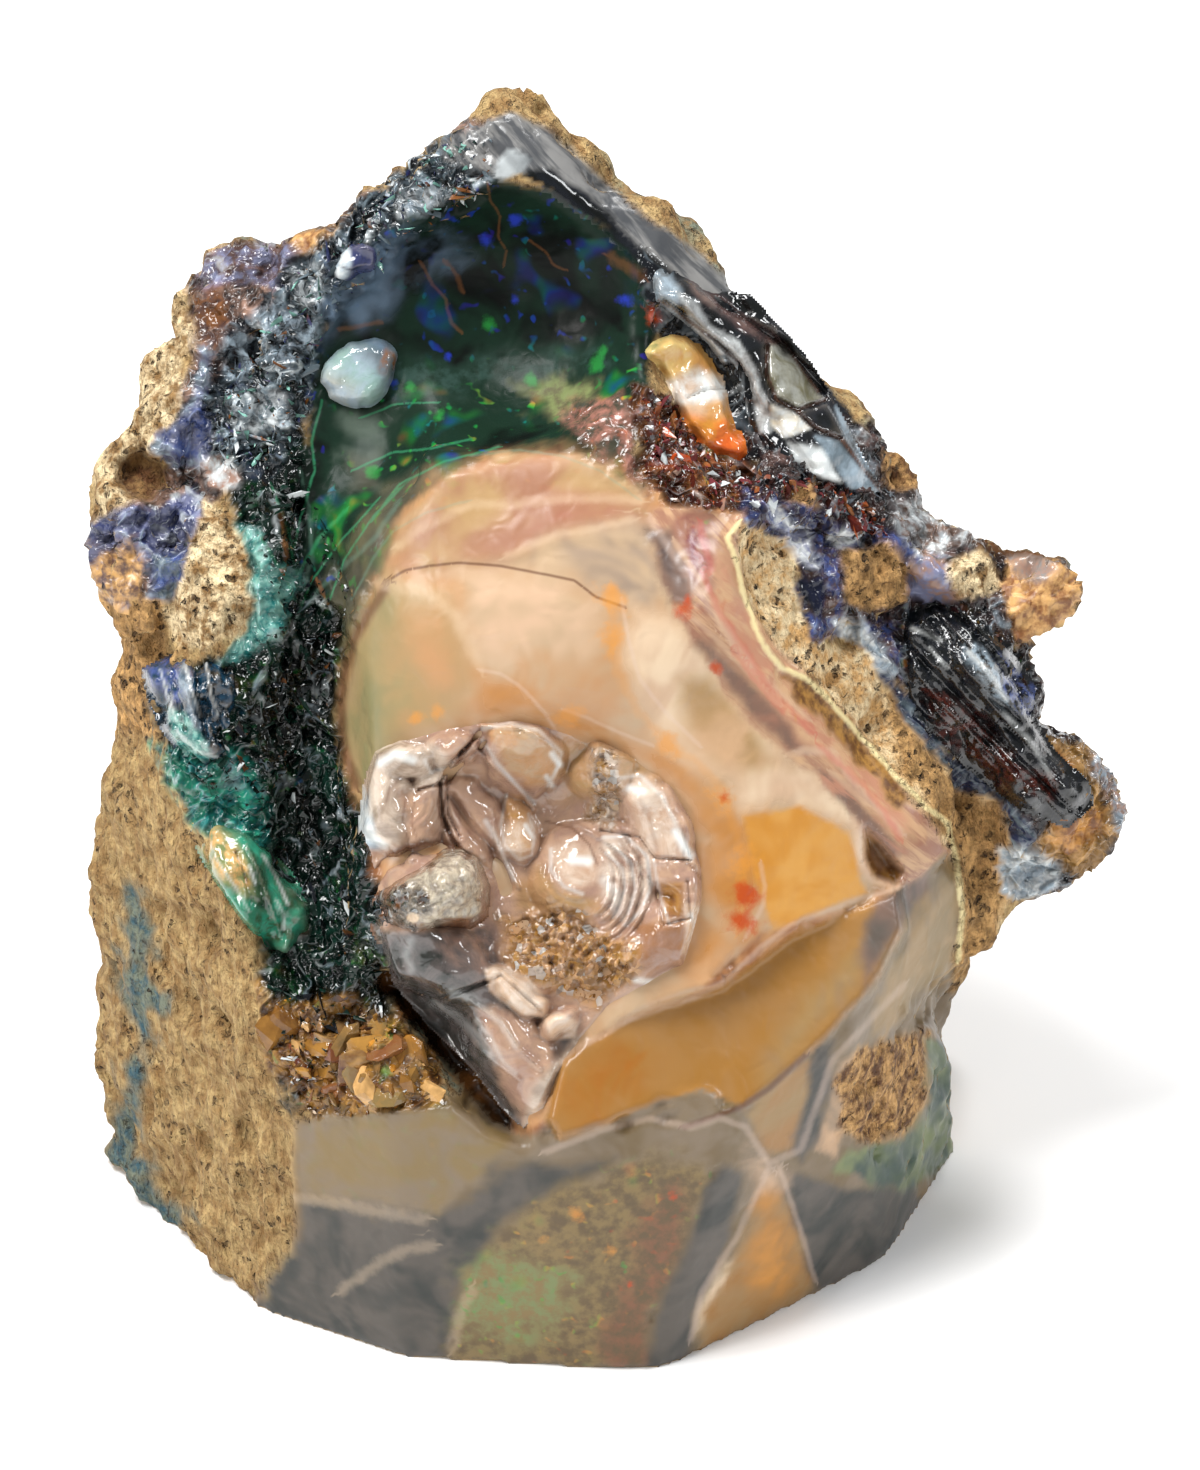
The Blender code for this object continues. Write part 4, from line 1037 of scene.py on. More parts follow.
class Plate:
    """A closed sheet of fine squares laid over an outline on the face, and shaped from there."""

    def __init__(self, outline, grain, tree, blur):
        corners = np.array(outline)
        low, high = corners.min(axis=0) - grain, corners.max(axis=0) + grain
        across = np.arange(low[0], high[0], grain)
        upward = np.arange(low[1], high[1], grain)
        self.shape = (len(upward), len(across))
        right, up = np.meshgrid(across, upward)
        self.grain = grain
        self.spots = np.column_stack([right.ravel(), up.ravel()])
        self.depth = depth_inside(self.spots, outline)
        self.ways = sight_lines(self.spots)
        reach = np.full(len(self.spots), np.nan)
        eye = Vector(EYE)
        for i in np.flatnonzero(self.depth > -2.0 * grain):
            hit = tree.ray_cast(eye, Vector(self.ways[i]))
            if hit[0] is not None:
                reach[i] = hit[3]
        reach[np.isnan(reach)] = np.nanmedian(reach)
        self.reach = self.blurred(np.minimum(self.blurred(reach, blur), reach - 0.1), 4)
        self.height = np.zeros(len(reach))
        flat = np.column_stack([self.spots, np.zeros(len(self.spots))])
        self.wander = 0.9 * np.column_stack([fractal(flat, 3.5, 3), fractal(flat, 3.5, 3, 7.0)])

    def blurred(self, values, rounds):
        """The values, each drawn to its neighbours' mean that many times."""
        grid = values.reshape(self.shape).copy()
        for _ in range(rounds):
            wide = np.pad(grid, 1, mode="edge")
            grid = (
                wide[:-2, 1:-1] + wide[2:, 1:-1] + wide[1:-1, :-2] + wide[1:-1, 2:] + 2 * grid
            ) / 6
        return grid.ravel()

    def lobe(self, centre, radii, turn, height):
        """Raises a rounded lobe, joined to what is there."""
        angle = math.radians(turn)
        gap = self.spots + self.wander - centre
        along = gap[:, 0] * math.cos(angle) + gap[:, 1] * math.sin(angle)
        across = -gap[:, 0] * math.sin(angle) + gap[:, 1] * math.cos(angle)
        inner = np.clip(1.0 - (along / radii[0]) ** 2 - (across / radii[1]) ** 2, 0.0, 1.0)
        self.height = (self.height**JOIN + (height * inner**0.5) ** JOIN) ** (1 / JOIN)

    def groove(self, points, width, depth):
        """Cuts a groove along a line, or raises a ridge where depth is negative."""
        gap, _, _ = side_gaps(self.spots, points, closed=False)
        self.height -= depth * (1.0 - smoothstep(0.0, width, gap))

    def ripples(self, centre, radii, arc, wave, height):
        """Shell-like arcs round a spot, between two radii and two bearings in degrees."""
        gap = self.spots - centre
        far = np.hypot(*gap.T)
        bearing = np.degrees(np.arctan2(gap[:, 1], gap[:, 0]))
        middle, half = (arc[0] + arc[1]) / 2, (arc[1] - arc[0]) / 2
        off = np.abs((bearing - middle + 180.0) % 360.0 - 180.0)
        far = far + 0.25 * self.wander[:, 0]
        share = smoothstep(radii[0], radii[0] + wave, far)
        share *= 1.0 - smoothstep(radii[1] - wave, radii[1], far)
        share *= 1.0 - smoothstep(half - 25.0, half, off)
        crest = 0.5 + 0.5 * np.cos(2 * math.pi * far / wave)
        self.height += height * share * crest**2

    def rough(self, size, height, where=1.0, octaves=4, shift=0.0):
        flat = np.column_stack([self.spots, np.full(len(self.spots), shift)])
        self.height += where * height * fractal(flat, size, octaves)

    def mesh(self, name, edge, sink=0.35, thickness=1.2):
        """The closed mesh. Its rim dips below the face by sink within edge of the outline."""
        rise = smoothstep(0.0, edge, self.depth)
        height = (self.height + sink) * rise - sink
        front = EYE + self.ways * (self.reach - height)[:, None]
        back = EYE + self.ways * (self.reach + thickness)[:, None]
        rows, columns = self.shape
        index = np.arange(rows * columns).reshape(rows, columns)
        cells = np.stack(
            [index[:-1, :-1], index[:-1, 1:], index[1:, 1:], index[1:, :-1]], axis=-1
        ).reshape(-1, 4)
        cells = cells[(self.depth[cells] > 0).all(axis=1)]
        sides = np.concatenate([cells[:, [i, (i + 1) % 4]] for i in range(4)])
        _, place, count = np.unique(
            np.sort(sides, axis=1), axis=0, return_index=True, return_counts=True
        )
        rim = sides[place[count == 1]]
        total = rows * columns
        walls = np.column_stack([rim[:, 1], rim[:, 0], rim[:, 0] + total, rim[:, 1] + total])
        faces = np.concatenate([cells, cells[:, ::-1] + total, walls])
        used, faces = np.unique(faces, return_inverse=True)
        points = np.concatenate([front, back])[used] * MM
        mesh = bpy.data.meshes.new(name)
        mesh.from_pydata(points.tolist(), [], faces.reshape(-1, 4).tolist())
        bend = self.height - self.blurred(self.height, 14)
        keep_numbers(mesh, "bend", np.concatenate([bend, bend])[used])
        mesh.shade_smooth()
        mesh.update()
        return mesh


def chip_shapes(kinds, corners, chance):
    """Some broken chips: (corner points, triangles) of irregular closed hulls about 1 across."""
    shapes = []
    for _ in range(kinds):
        shape = bmesh.new()
        for _ in range(corners):
            way = chance.normal(size=3)
            shape.verts.new(way / np.linalg.norm(way) * chance.uniform(0.35, 0.55))
        hull = bmesh.ops.convex_hull(shape, input=shape.verts)
        inside = [v for v in hull["geom_interior"] if isinstance(v, bmesh.types.BMVert)]
        bmesh.ops.delete(shape, geom=inside, context="VERTS")
        bmesh.ops.triangulate(shape, faces=shape.faces)
        shape.verts.index_update()
        shapes.append((
            np.array([v.co for v in shape.verts]),
            np.array([[v.index for v in face.verts] for face in shape.faces]),
        ))
        shape.free()
    return shapes


def turns(count, chance):
    """Rotation matrices at random."""
    q = chance.normal(size=(count, 4))
    w, x, y, z = (q / np.linalg.norm(q, axis=1)[:, None]).T
    return np.stack([
        np.stack([1 - 2 * (y * y + z * z), 2 * (x * y - w * z), 2 * (x * z + w * y)], -1),
        np.stack([2 * (x * y + w * z), 1 - 2 * (x * x + z * z), 2 * (y * z - w * x)], -1),
        np.stack([2 * (x * z - w * y), 2 * (y * z + w * x), 1 - 2 * (x * x + y * y)], -1),
    ], axis=1)


def scatter(name, count, outlines, sizes, long, lift, seed, finish, corners=9, edge=0.0):
    """Chips strewn over areas of the face: sizes is (smallest, largest) in millimetres, long is
    how much longer than wide, and lift is how far out they sit, as a share of their size."""
    chance = np.random.default_rng(seed)
    mesh, points = stone_surface()
    mesh.calc_loop_triangles()
    outward = numbers(mesh.vertices, "normal", 3)
    corner = numbers(mesh.loop_triangles, "vertices", 3).astype(int)
    middle = points[corner].mean(axis=1)
    spots = on_sheet(middle)
    facing = -(outward[corner].mean(axis=1) @ SHEET_IN)
    depth = np.max([depth_inside(spots, outline) for outline in outlines], axis=0)
    area = np.linalg.norm(np.cross(
        points[corner[:, 1]] - points[corner[:, 0]], points[corner[:, 2]] - points[corner[:, 0]]
    ), axis=1)
    weight = area * (depth > edge) * (facing > -0.05)
    chosen = chance.choice(len(weight), count, p=weight / weight.sum())
    share = chance.dirichlet((1, 1, 1), count)
    seats = (points[corner[chosen]] * share[:, :, None]).sum(axis=1)
    normals = outward[corner[chosen]].mean(axis=1)
    size = sizes[0] + (sizes[1] - sizes[0]) * chance.random(count) ** 3
    stretch = np.stack([
        size * chance.uniform(1.0, long, count), size, size * chance.uniform(0.3, 0.8, count)
    ], axis=1)
    shapes = chip_shapes(24, corners, chance)
    spin = turns(count, chance)
    tone = chance.random(count)
    all_points, all_faces, all_tones, start = [], [], [], 0
    for i in range(count):
        outline, faces = shapes[i % len(shapes)]
        placed = (outline * stretch[i]) @ spin[i].T + seats[i] + normals[i] * lift * size[i]
        all_points.append(placed)
        all_faces.append(faces + start)
        all_tones.append(np.full(len(placed), tone[i]))
        start += len(placed)
    made = bpy.data.meshes.new(name)
    places = np.concatenate(all_points) * MM
    made.from_pydata(places.tolist(), [], np.concatenate(all_faces).tolist())
    keep_numbers(made, "tone", np.concatenate(all_tones))
    made.update()
    return show(name, made, finish)


def chip_finish(name, stops, roughness, colours):
    """Broken glass: each chip has a tone of its own from the stops."""
    f = Finish(name)
    tone = f.kept("tone")
    wander = f.math("MULTIPLY", f.math("SUBTRACT", f.noise(1.5, 3.0), 0.5), 0.25)
    ramp = [(place, colours[key]) for place, key in stops]
    colour = f.ramp(f.math("ADD", tone, wander), *ramp)
    return f.wear(colour, roughness, f.bump(f.noise(0.5, 2.0), 0.05), IOR=1.46)


def glass_finish(name, colours, sheen):
    """Glass laid on the face: its paint, with painted shade in the folds, a painted sheen on the
    swells and painted glints on a few facets.
    """
    f = Finish(name)
    cloud = f.soft(f.noise(2.2, 4.0, 0.8), 0.33, 0.67)
    fine = f.soft(f.noise(0.7, 6.0), 0.36, 0.64)
    pattern = f.blend(f.kept("fineness"), cloud, fine)
    colour = f.mix(pattern, f.painted("paint_first"), f.painted("paint_second"))
    bend = f.kept("bend")
    # Painted shade: the colour darkens where the surface bends inward.
    fold = f.math("MULTIPLY", f.soft(f.math("MULTIPLY", bend, -1.0), 0.03, 0.45), 0.75)
    colour = f.mix(fold, colour, f.scaled(colour, (0.42, 0.30, 0.24)))
    # Painted sheen: the colour pales where the surface swells.
    swell = f.math("MULTIPLY", f.soft(bend, 0.05, 0.30), sheen)
    colour = f.mix(swell, colour, colours["glass_pale"])
    colour = f.mix(f.kept("ink"), colour, colours["crack_dark"])
    colour = f.mix(f.kept("milk"), colour, colours["glass_white"])
    shards = f.kept("shards")
    lean, chance = f.facets(0.5, 2.0)
    parts = f.parts_of(chance)
    dim = f.math("MULTIPLY", f.math("MULTIPLY", shards, f.soft(parts[0], 0.4, 0.5)), 0.7)
    colour = f.mix(dim, colour, f.scaled(colour, (0.35, 0.3, 0.28)))
    # Painted glints: a few facets turn white.
    glint = f.math("MULTIPLY", f.math("MULTIPLY", shards, f.soft(parts[1], 0.88, 0.94)), 0.5)
    colour = f.mix(glint, colour, colours["crest_white"])
    normal = f.bump(f.noise(1.1, 2.0, 0.8), 0.12)
    normal = f.bump(f.math("MULTIPLY", lean, shards), 0.6, normal)
    return f.wear(colour, 0.06, normal, IOR=1.47, Coat_Weight=0.5)


# ---------------------------------------------------------------- glass pieces
HEART_OUTLINE = path("""
-160,-32 -153,-10 -135,-1 -108,7 -81,11 -54,13 -27,6 0,-2 27,-14 48,-30 63,-57 70,-84 70,-111
63,-138 57,-157 34,-170 7,-185 -10,-205 -27,-229 -37,-252 -52,-266 -67,-252 -87,-225 -114,-199
-140,-168 -151,-131 -153,-98 -164,-64
""")
# The pale rim of the left lobe is a painted rim highlight.
HEART_AREAS = rows_of("""
lobe_left glass_pale veil_grey cloud 1 0.4 0.06 -163,-7 -135,-1 -108,-7 -100,-20 -109,-37 -106,-64
  -114,-76 -151,-76 -165,-57
lobe_fold glass_lilac glass_rose cloud 1.2 0.4 0.06 -136,-37 -109,-36 -108,-69 -131,-72
lobe_rim glass_white slate_pale cloud 0.6 0.2 0.06 -167,-30 -157,-37 -156,-52 -151,-67 -144,-77
  -157,-76 -167,-57
upper_lobe cream peach cloud 1 0.4 0.06 -78,6 -61,9 -40,3 -26,-11 -27,-22 -35,-37 -50,-34 -66,-18
high_tan amber_glass tan_opal cloud 1.4 0.5 0.08 -26,-3 0,-2 27,-14 40,-30 27,-29 0,-44 -22,-44
  -27,-22
valley glass_lilac glass_rose cloud 1.2 0.5 0.06 -102,-37 -87,-44 -67,-77 -59,-104 -64,-131 -81,-111
  -97,-77 -104,-57
pool amber_brown amber_glass cloud 0.8 0.3 0.06 -65,-41 -51,-41 -46,-52 -54,-59 -65,-55
pool_milk glass_pale amber_glass cloud 0.8 0.2 0.06 -65,-61 -44,-57 -44,-77 -54,-84 -63,-77
tan_floor amber_glass tan_opal cloud 1.2 0.5 0.06 -59,-98 -40,-88 -27,-103 0,-110 8,-119 -27,-121
  -57,-119
shell glass_pale glass_rose cloud 1.2 0.4 0.06 -32,-76 -17,-69 -1,-77 -1,-98 -12,-106 -27,-102
shell_side glass_lilac glass_pale cloud 1 0.4 0.06 3,-69 20,-71 34,-85 34,-106 24,-125 15,-129
  0,-114 0,-91
lobe_right glass_pale glass_rose cloud 1.2 0.4 0.06 13,-29 30,-28 44,-44 54,-71 57,-84 35,-83 22,-64
panel_high glass_brown amber_brown cloud 0.5 0.2 0.06 42,-100 55,-100 56,-123 43,-123
panel_low glass_brown glass_lilac cloud 1.2 0.4 0.06 15,-126 57,-125 57,-160 20,-160
rim_right cream_rose glass_pale fine 0.6 0.4 0.1 58,-114 71,-114 71,-158 58,-160
heart_crumbs amber_brown amber_glass fine 1 0.8 0.12 -65,-123 -27,-114 22,-141 27,-168 0,-182
  -27,-175 -64,-153
high_crumbs glass_pale amber_brown fine 0.8 0.5 0.1 -7,-10 11,-11 15,-44 8,-61 -12,-59 -5,-37
wedge glass_dusk slate_dark cloud 0.8 0.3 0.06 -155,-131 -77,-131 -67,-155 -67,-168 -17,-205
  -54,-269 -111,-202 -148,-172
wedge_top glass_lilac glass_dusk cloud 1.2 0.3 0.06 -108,-135 -73,-131 -67,-155 -81,-162 -101,-151
tail glass_rose glass_lilac cloud 1 0.4 0.05 -81,-185 -37,-192 -27,-212 -40,-246 -50,-262 -67,-236
milk_high cream_rose glass_pale cloud 0.3 0.1 0.12 -78,-158 -67,-153 -47,-165 -34,-180 -37,-190
  -54,-188 -74,-172
milk_low cream_rose glass_pale cloud 0.3 0.1 0.12 -40,-188 -27,-186 -15,-193 -17,-204 -32,-205
pale_strip veil_grey glass_pale cloud 0.8 0.2 0.1 -18,-205 0,-199 -8,-213 -32,-246 -40,-269 -52,-269
  -46,-239
""")
AREA_OUTLINES.update({row[0]: row[-1] for row in HEART_AREAS})
# Pits in the wood knob, painted black as the shade in their holes: size mm, turn, middle.
KNOB_PITS = rows_of("""
0.6 20 -139,-114
0.4 60 -145,-122
0.3 0 -131,-110
0.5 110 -135,-129
0.3 30 -120,-111
0.3 0 -113,-88
0.3 40 -89,-81
0.25 0 -82,-111
""")

# Each glass piece. Its areas are written as the face's are. The other tables have:
#   lobes    turn, height mm, two radii mm, middle
#   creases  width mm, depth mm, points (a negative depth raises a ridge)
#   ripples  two radii mm, two bearings, wave mm, height mm, middle
#   rough    size mm, height mm, outline
#   milk, ink  width mm, strength, points of the pale or dark lines
# The pale lines are milky bands and painted highlights; the dark ones are cracks, and in the heart
# one painted shadow.
PLATES = {
    "glass_heart": dict(
        outline=HEART_OUTLINE,
        grain=0.13, blur=60, edge=0.6, base=("glass_rose", "glass_lilac", "cloud", 0.06),
        rows=HEART_AREAS,
        lobes=rows_of("""
12 2.2 1.88 3.1 -145,-48
8 2 2.56 1.28 -136,-17
-12 1.7 1.62 2.96 -118,-48
-30 1.6 1.48 1.01 -100,-11
-35 1.9 2.83 2.42 -52,-15
35 1.6 2.02 3.5 -87,-61
10 1.5 1.35 2.29 -56,-63
20 1.7 4.44 4.04 -7,-98
22 1.9 2.42 4.17 40,-68
0 1.5 2.96 2.69 37,-138
-20 1.4 2.42 1.75 0,-25
-28 1.9 4.44 2.83 -108,-158
35 1.5 2.69 4.85 -61,-212
0 1.1 4.04 2.96 -27,-145
-35 2.3 2.42 1.14 -56,-172
-20 2 1.41 1.01 -28,-196
10 1.3 1.21 3.36 62,-111
20 0.9 2.69 1.48 -121,-91
"""),
        creases=rows_of("""
0.22 0.9 -81,1 -100,-18 -108,-32 -106,-54 -99,-71 -82,-94
0.18 0.5 -77,-5 -96,-22 -104,-34 -102,-54 -94,-69
0.22 0.5 -122,-37 -113,-34 -104,-32 -93,-11
0.2 -0.35 -80,6 -53,5 -34,-5 -26,-18 -34,-37
0.2 -0.4 -84,-9 -67,-25 -55,-36 -44,-50
0.22 -0.35 -73,-50 -69,-73 -63,-87 -55,-102
0.55 0.7 -100,-42 -87,-61 -73,-77 -63,-104
0.16 -0.3 -18,-59 3,-71 24,-85 34,-102 32,-114 22,-129
0.2 -0.35 42,-42 54,-64 61,-83 67,-91
0.18 0.35 37,-100 43,-128 61,-123 59,-98
0.16 0.4 0,-64 27,-69 37,-83 61,-84
0.25 0.5 -140,-168 -108,-178 -81,-168 -67,-162 -40,-186
0.22 -0.3 -114,-178 -98,-192 -81,-212 -54,-232
0.2 -0.3 -87,-178 -67,-193 -54,-212 -40,-225
0.5 1 -156,-104 -145,-88 -128,-79 -108,-77 -93,-83
"""),
        ripples=rows_of("""
2.02 5.65 -66 54 0.61 0.34 -17,-99
0.81 2.69 150 290 0.61 0.16 -15,-92
2.29 4.04 -30 60 0.47 0.12 27,-77
1.35 3.36 -60 20 0.54 0.14 -135,-44
4.04 8.75 20 70 0.81 0.15 -114,-239
"""),
        rough=rows_of("""
0.9 0.75 -65,-123 -27,-111 22,-141 27,-168 0,-182 -27,-175 -64,-153
0.8 0.6 -15,-15 0,-3 15,-11 17,-59 -5,-65 -13,-44
1 0.35 61,-98 81,-111 67,-151 57,-151
"""),
        milk=rows_of("""
0.4 0.7 -161,-42 -162,-55 -157,-68 -145,-74
0.5 0.8 -148,-19 -138,-13 -126,-17
0.24 0.48 -79,4 -61,8 -41,3 -26,-12 -28,-21 -35,-34
0.4 0.9 -32,-13 -27,-20
0.3 0.8 -36,-28 -32,-34
0.24 0.4 -79,-4 -69,-19 -55,-35 -44,-46
0.32 0.4 -77,-58 -69,-71 -64,-84 -58,-97
0.19 0.36 -63,-40 -67,-61 -64,-74 -55,-84 -46,-81 -44,-68 -48,-53
0.3 0.7 -50,-61 -45,-69
0.55 0.9 -19,-84 -8,-85
0.24 0.4 -33,-77 -33,-91 -24,-102 -12,-107
0.22 0.48 2,-69 17,-68 32,-82 34,-104 26,-120 17,-128
0.19 0.4 9,-74 21,-87 24,-104 19,-120
0.19 0.36 4,-79 15,-90 17,-104 12,-116
0.6 0.35 3,-98 12,-108 11,-119
0.22 0.4 13,-29 27,-27 42,-42 50,-58 55,-74 57,-81
0.45 0.8 20,-36 29,-38
0.5 0.95 51,-65 57,-76 61,-81
0.19 0.32 36,-84 40,-107 47,-128
0.4 0.7 24,-165 37,-167 50,-163
0.3 0.5 62,-121 66,-138 70,-153
0.5 0.18 -127,-138 -131,-149 -127,-158
0.5 0.2 -113,-181 -97,-189 -82,-203 -70,-220
0.45 0.22 -100,-173 -85,-178 -67,-193 -57,-209
0.3 0.25 -83,-192 -73,-205 -65,-221 -57,-228
0.19 0.4 -118,-17 -114,-25 -104,-22
"""),
        # The heart's cracks, and one wide line above the wood knob, which is a painted shadow.
        ink=rows_of("""
0.2 0.8 -80,5 -87,-6 -98,-22 -106,-34 -109,-46 -106,-61 -97,-71 -87,-83
0.14 0.7 -87,-6 -94,-19 -103,-37 -105,-50 -102,-65 -94,-74
0.14 0.6 -125,-39 -118,-35 -108,-34
0.35 0.35 -144,-44 -141,-36 -135,-29
0.14 0.45 -131,-44 -133,-57 -129,-71
0.14 0.45 -125,-44 -127,-59 -122,-73
0.6 0.4 -97,-46 -87,-68 -71,-84 -61,-97
0.18 0.6 -36,-58 -18,-63 -7,-74 -2,-87
0.13 0.5 5,-73 22,-84 28,-104 22,-123
0.12 0.4 0,-76 11,-87 16,-104 11,-118
0.12 0.7 36,-82 48,-82 60,-87 68,-97
0.12 0.4 43,-102 55,-102 55,-122 44,-122
0.55 0.9 -151,-98 -141,-81 -121,-73 -102,-73 -85,-87
0.14 0.3 -24,-11 -24,-22 -30,-38
0.2 0.3 -54,-111 -37,-114 -27,-111
0.35 0.25 27,-44 34,-57 38,-77
"""),
    ),
    "wood_knob": dict(
        outline=path("""
-156,-130 -153,-108 -140,-96 -121,-85 -108,-75 -93,-73 -79,-81 -72,-101 -74,-123 -87,-133 -108,-131
-125,-141 -138,-145 -151,-141
"""),
        grain=0.14, blur=60, edge=0.9, base=("knob_grey", "knob_pale", "fine", 0.7),
        rows=[
            *rows_of("""
knob_rim garnet_dull umber fine 0.8 0.6 0.4 -160,-138 -157,-108 -141,-91 -110,-72 -87,-69 -67,-84
  -67,-125 -85,-138 -108,-135 -125,-146 -148,-149
knob_top knob_grey knob_pale fine 0.5 0.5 0.7 -128,-98 -104,-79 -90,-77 -79,-88 -77,-111 -82,-123
  -100,-126 -114,-131 -127,-128 -131,-111
knob_dark slate_dark knob_grey fine 0.6 0.9 0.3 -152,-128 -149,-112 -138,-103 -125,-106 -118,-121
  -125,-135 -140,-139 -149,-137
"""),
            # Painted shade: each pit is a black oval.
            *[
                ("knob_pit", "glass_black", "umber", "fine", 0.25, 0.3, 0.3,
                 oval(spot, (size, size * 0.7), turn))
                for size, turn, (spot,) in KNOB_PITS
            ],
            ("knob_bead", "cloud_white", "cream", "cloud", 0.15, 0.0, 0.3,
             oval((-12.6, -12.3), (0.42, 0.36), 0)),
        ],
        lobes=rows_of("""
-22 3.6 4.85 3.23 -112,-108
0 3.9 2.56 2.69 -97,-100
"""),
        rough=[
            (1.6, 0.35, HEART_OUTLINE), (0.6, 0.3, HEART_OUTLINE),
            *rows_of("0.9 0.5 -156,-131 -153,-104 -127,-98 -118,-135 -148,-145"),
        ],
    ),
    "pale_lobe": dict(
        outline=oval((-16.2, 24.4), (3.10, 2.76), 35),
        grain=0.14, blur=30, edge=0.4, base=("teal_milk", "slate_pale", "cloud", 0.08),
        # Its lower left is a painted highlight, and it is darker towards its upper right.
        rows=rows_of("""
lobe_milk knob_pale slate_pale cloud 2.6 0.2 0.08 -190,240 -179,242 -167,232 -168,217 -178,216
  -190,222
lobe_deep opal_slate slate_dark cloud 2.6 0.5 0.08 -171,274 -135,275 -132,247 -140,236 -151,251
  -160,259
lobe_copper copper slate_glass fine 0.8 0.8 0.08 -144,258 -139,256 -140,250 -147,247
"""),
        lobes=rows_of("35 2 2.49 2.15 -162,244"),
        wave=0.04, drop=0.5,
    ),
    "blue_bead": dict(
        outline=oval((-16.4, 31.7), (1.82, 1.48), 20),
        grain=0.13, blur=30, edge=0.4, base=("violet_deep", "indigo", "cloud", 0.05),
        rows=rows_of("""
bead_white glass_white slate_pale streak 0.5 0.2 0.05 -182,312 -178,329 -170,329 -167,317 -170,308
  -178,302
bead_line glass_black indigo cloud 0.2 0 0.05 -176,316 -167,314 -157,318 -167,312
"""),
        lobes=rows_of("20 1.6 1.48 1.14 -164,317"),
        wave=0.04, drop=0.45,
    ),
    "sunset_patch": dict(
        outline=path("""
27,259 34,267 47,272 59,271 69,263 77,254 83,243 87,232 90,219 94,207 101,199 102,188 94,181 85,185
76,187 65,196 56,207 50,218 46,228 42,239 37,247 30,252
"""),
        grain=0.14, blur=40, edge=0.9, base=("cream_yellow", "honey_pale", "cloud", 0.08),
        rows=rows_of("""
sunset_green moss_green cream_yellow cloud 0.6 0.2 0.08 24,256 35,270 51,273 40,262 32,252
sunset_gold honey_pale honey cloud 1.4 0.2 0.08 62,262 73,256 81,243 67,240 61,250
sunset_white glass_white cream_rose cloud 1 0.2 0.08 44,238 67,246 83,240 89,227 82,223 63,220
  51,221
sunset_rose cream_rose honey_pale cloud 0.8 0.2 0.08 51,221 89,227 93,215 67,209 57,212
sunset_fire fire_orange honey cloud 1.2 0.3 0.08 51,219 67,213 93,217 105,199 104,182 93,178 66,194
sunset_red spot_red fire_orange cloud 1.6 0.3 0.08 55,213 71,201 97,205 106,194 101,178 81,181
  63,194
"""),
        lobes=rows_of("""
-30 1.2 3.5 2.96 52,251
-58 1.2 4.98 2.56 74,220
"""),
        creases=rows_of("0.12 0.3 59,227 71,232 85,233"),
    ),
    "flutes": dict(
        outline=path("""
31,318 48,321 71,302 102,297 124,274 143,252 162,221 176,192 192,162 168,162 135,174 116,190 102,201
93,217 82,246 71,263 54,278 35,290
"""),
        grain=0.15, blur=40, edge=0.6, base=("glass_smoke", "glass_black", "cloud", 0.05),
        # The white flash at the lower right is a painted highlight, and the olive-grey facets above
        # it are painted reflections.
        rows=rows_of("""
flute_plum violet_brown glass_smoke cloud 0.5 0.2 0.06 53,322 77,299 96,285 116,271 124,262 113,262
  96,273 77,285 61,301
flute_lump slate_pale crest_grey cloud 0.6 0.3 0.06 30,312 43,316 55,299 51,285 40,289 32,295
flute_white crest_white crest_pale streak 0.4 0.3 0.05 52,298 62,293 77,275 93,263 105,246 112,225
  114,204 108,203 102,227 93,246 78,259 63,271
flute_inner crest_pale slate_pale streak 0.3 0.2 0.05 47,289 61,274 75,260 92,250 98,231 100,207
  94,207 93,225 87,242 73,252 57,266 43,282
flute_gap glass_black glass_black cloud 0.3 0.1 0.1 78,251 87,251 93,239 95,222 94,208 89,209 85,225
  80,239
flute_olive crest_olive opal_halo cloud 0.3 0.1 0.08 114,262 124,263 147,229 151,227 133,220 120,226
  113,238
flute_tan crest_white knob_pale cloud 0.3 0.1 0.08 115,223 133,215 143,207 125,200 115,209
flute_flash glass_white crest_white cloud 0.4 0.3 0.05 127,197 149,193 163,169 143,177 131,185
flute_slate slate_pale slate_glass cloud 0.4 0.1 0.06 145,201 160,198 191,161 168,166 152,190
flute_rim slate_pale crest_grey cloud 0.4 0.2 0.06 159,221 168,209 184,184 188,173 178,178 164,200
"""),
        lobes=rows_of("""
-42 1.5 4.31 1.75 67,281
-52 1.4 4.98 2.02 118,244
-48 1.2 3.63 1.88 149,199
"""),
        creases=rows_of("""
0.24 0.8 43,293 61,278 78,266 94,251 101,228
0.24 0.8 75,255 86,254 94,236 97,212
0.28 0.6 67,301 87,287 108,273 124,263
0.24 0.7 113,262 112,244 118,227 133,219 152,225
0.22 0.6 133,217 145,205 162,200
0.24 0.5 124,264 148,236 163,207 187,168
0.2 -0.4 58,290 71,274 89,260 102,243 109,223
0.2 -0.4 54,279 71,262 87,251 96,234
"""),
        ink=rows_of("""
0.16 0.8 113,262 112,244 119,226 133,219 152,226
0.14 0.7 124,264 147,231
0.18 0.8 133,218 145,207 162,200 191,161
0.14 0.6 43,291 61,277 78,264 96,248 101,225
"""),
    ),
    "streaked_glass": dict(
        outline=path("""
201,76 222,91 244,88 260,79 277,59 297,30 293,14 308,-11 330,-30 334,-48 315,-64 283,-52 252,-28
222,-2 205,24
"""),
        grain=0.16, blur=40, edge=0.8, base=("glass_black", "glass_smoke", "fine", 0.05),
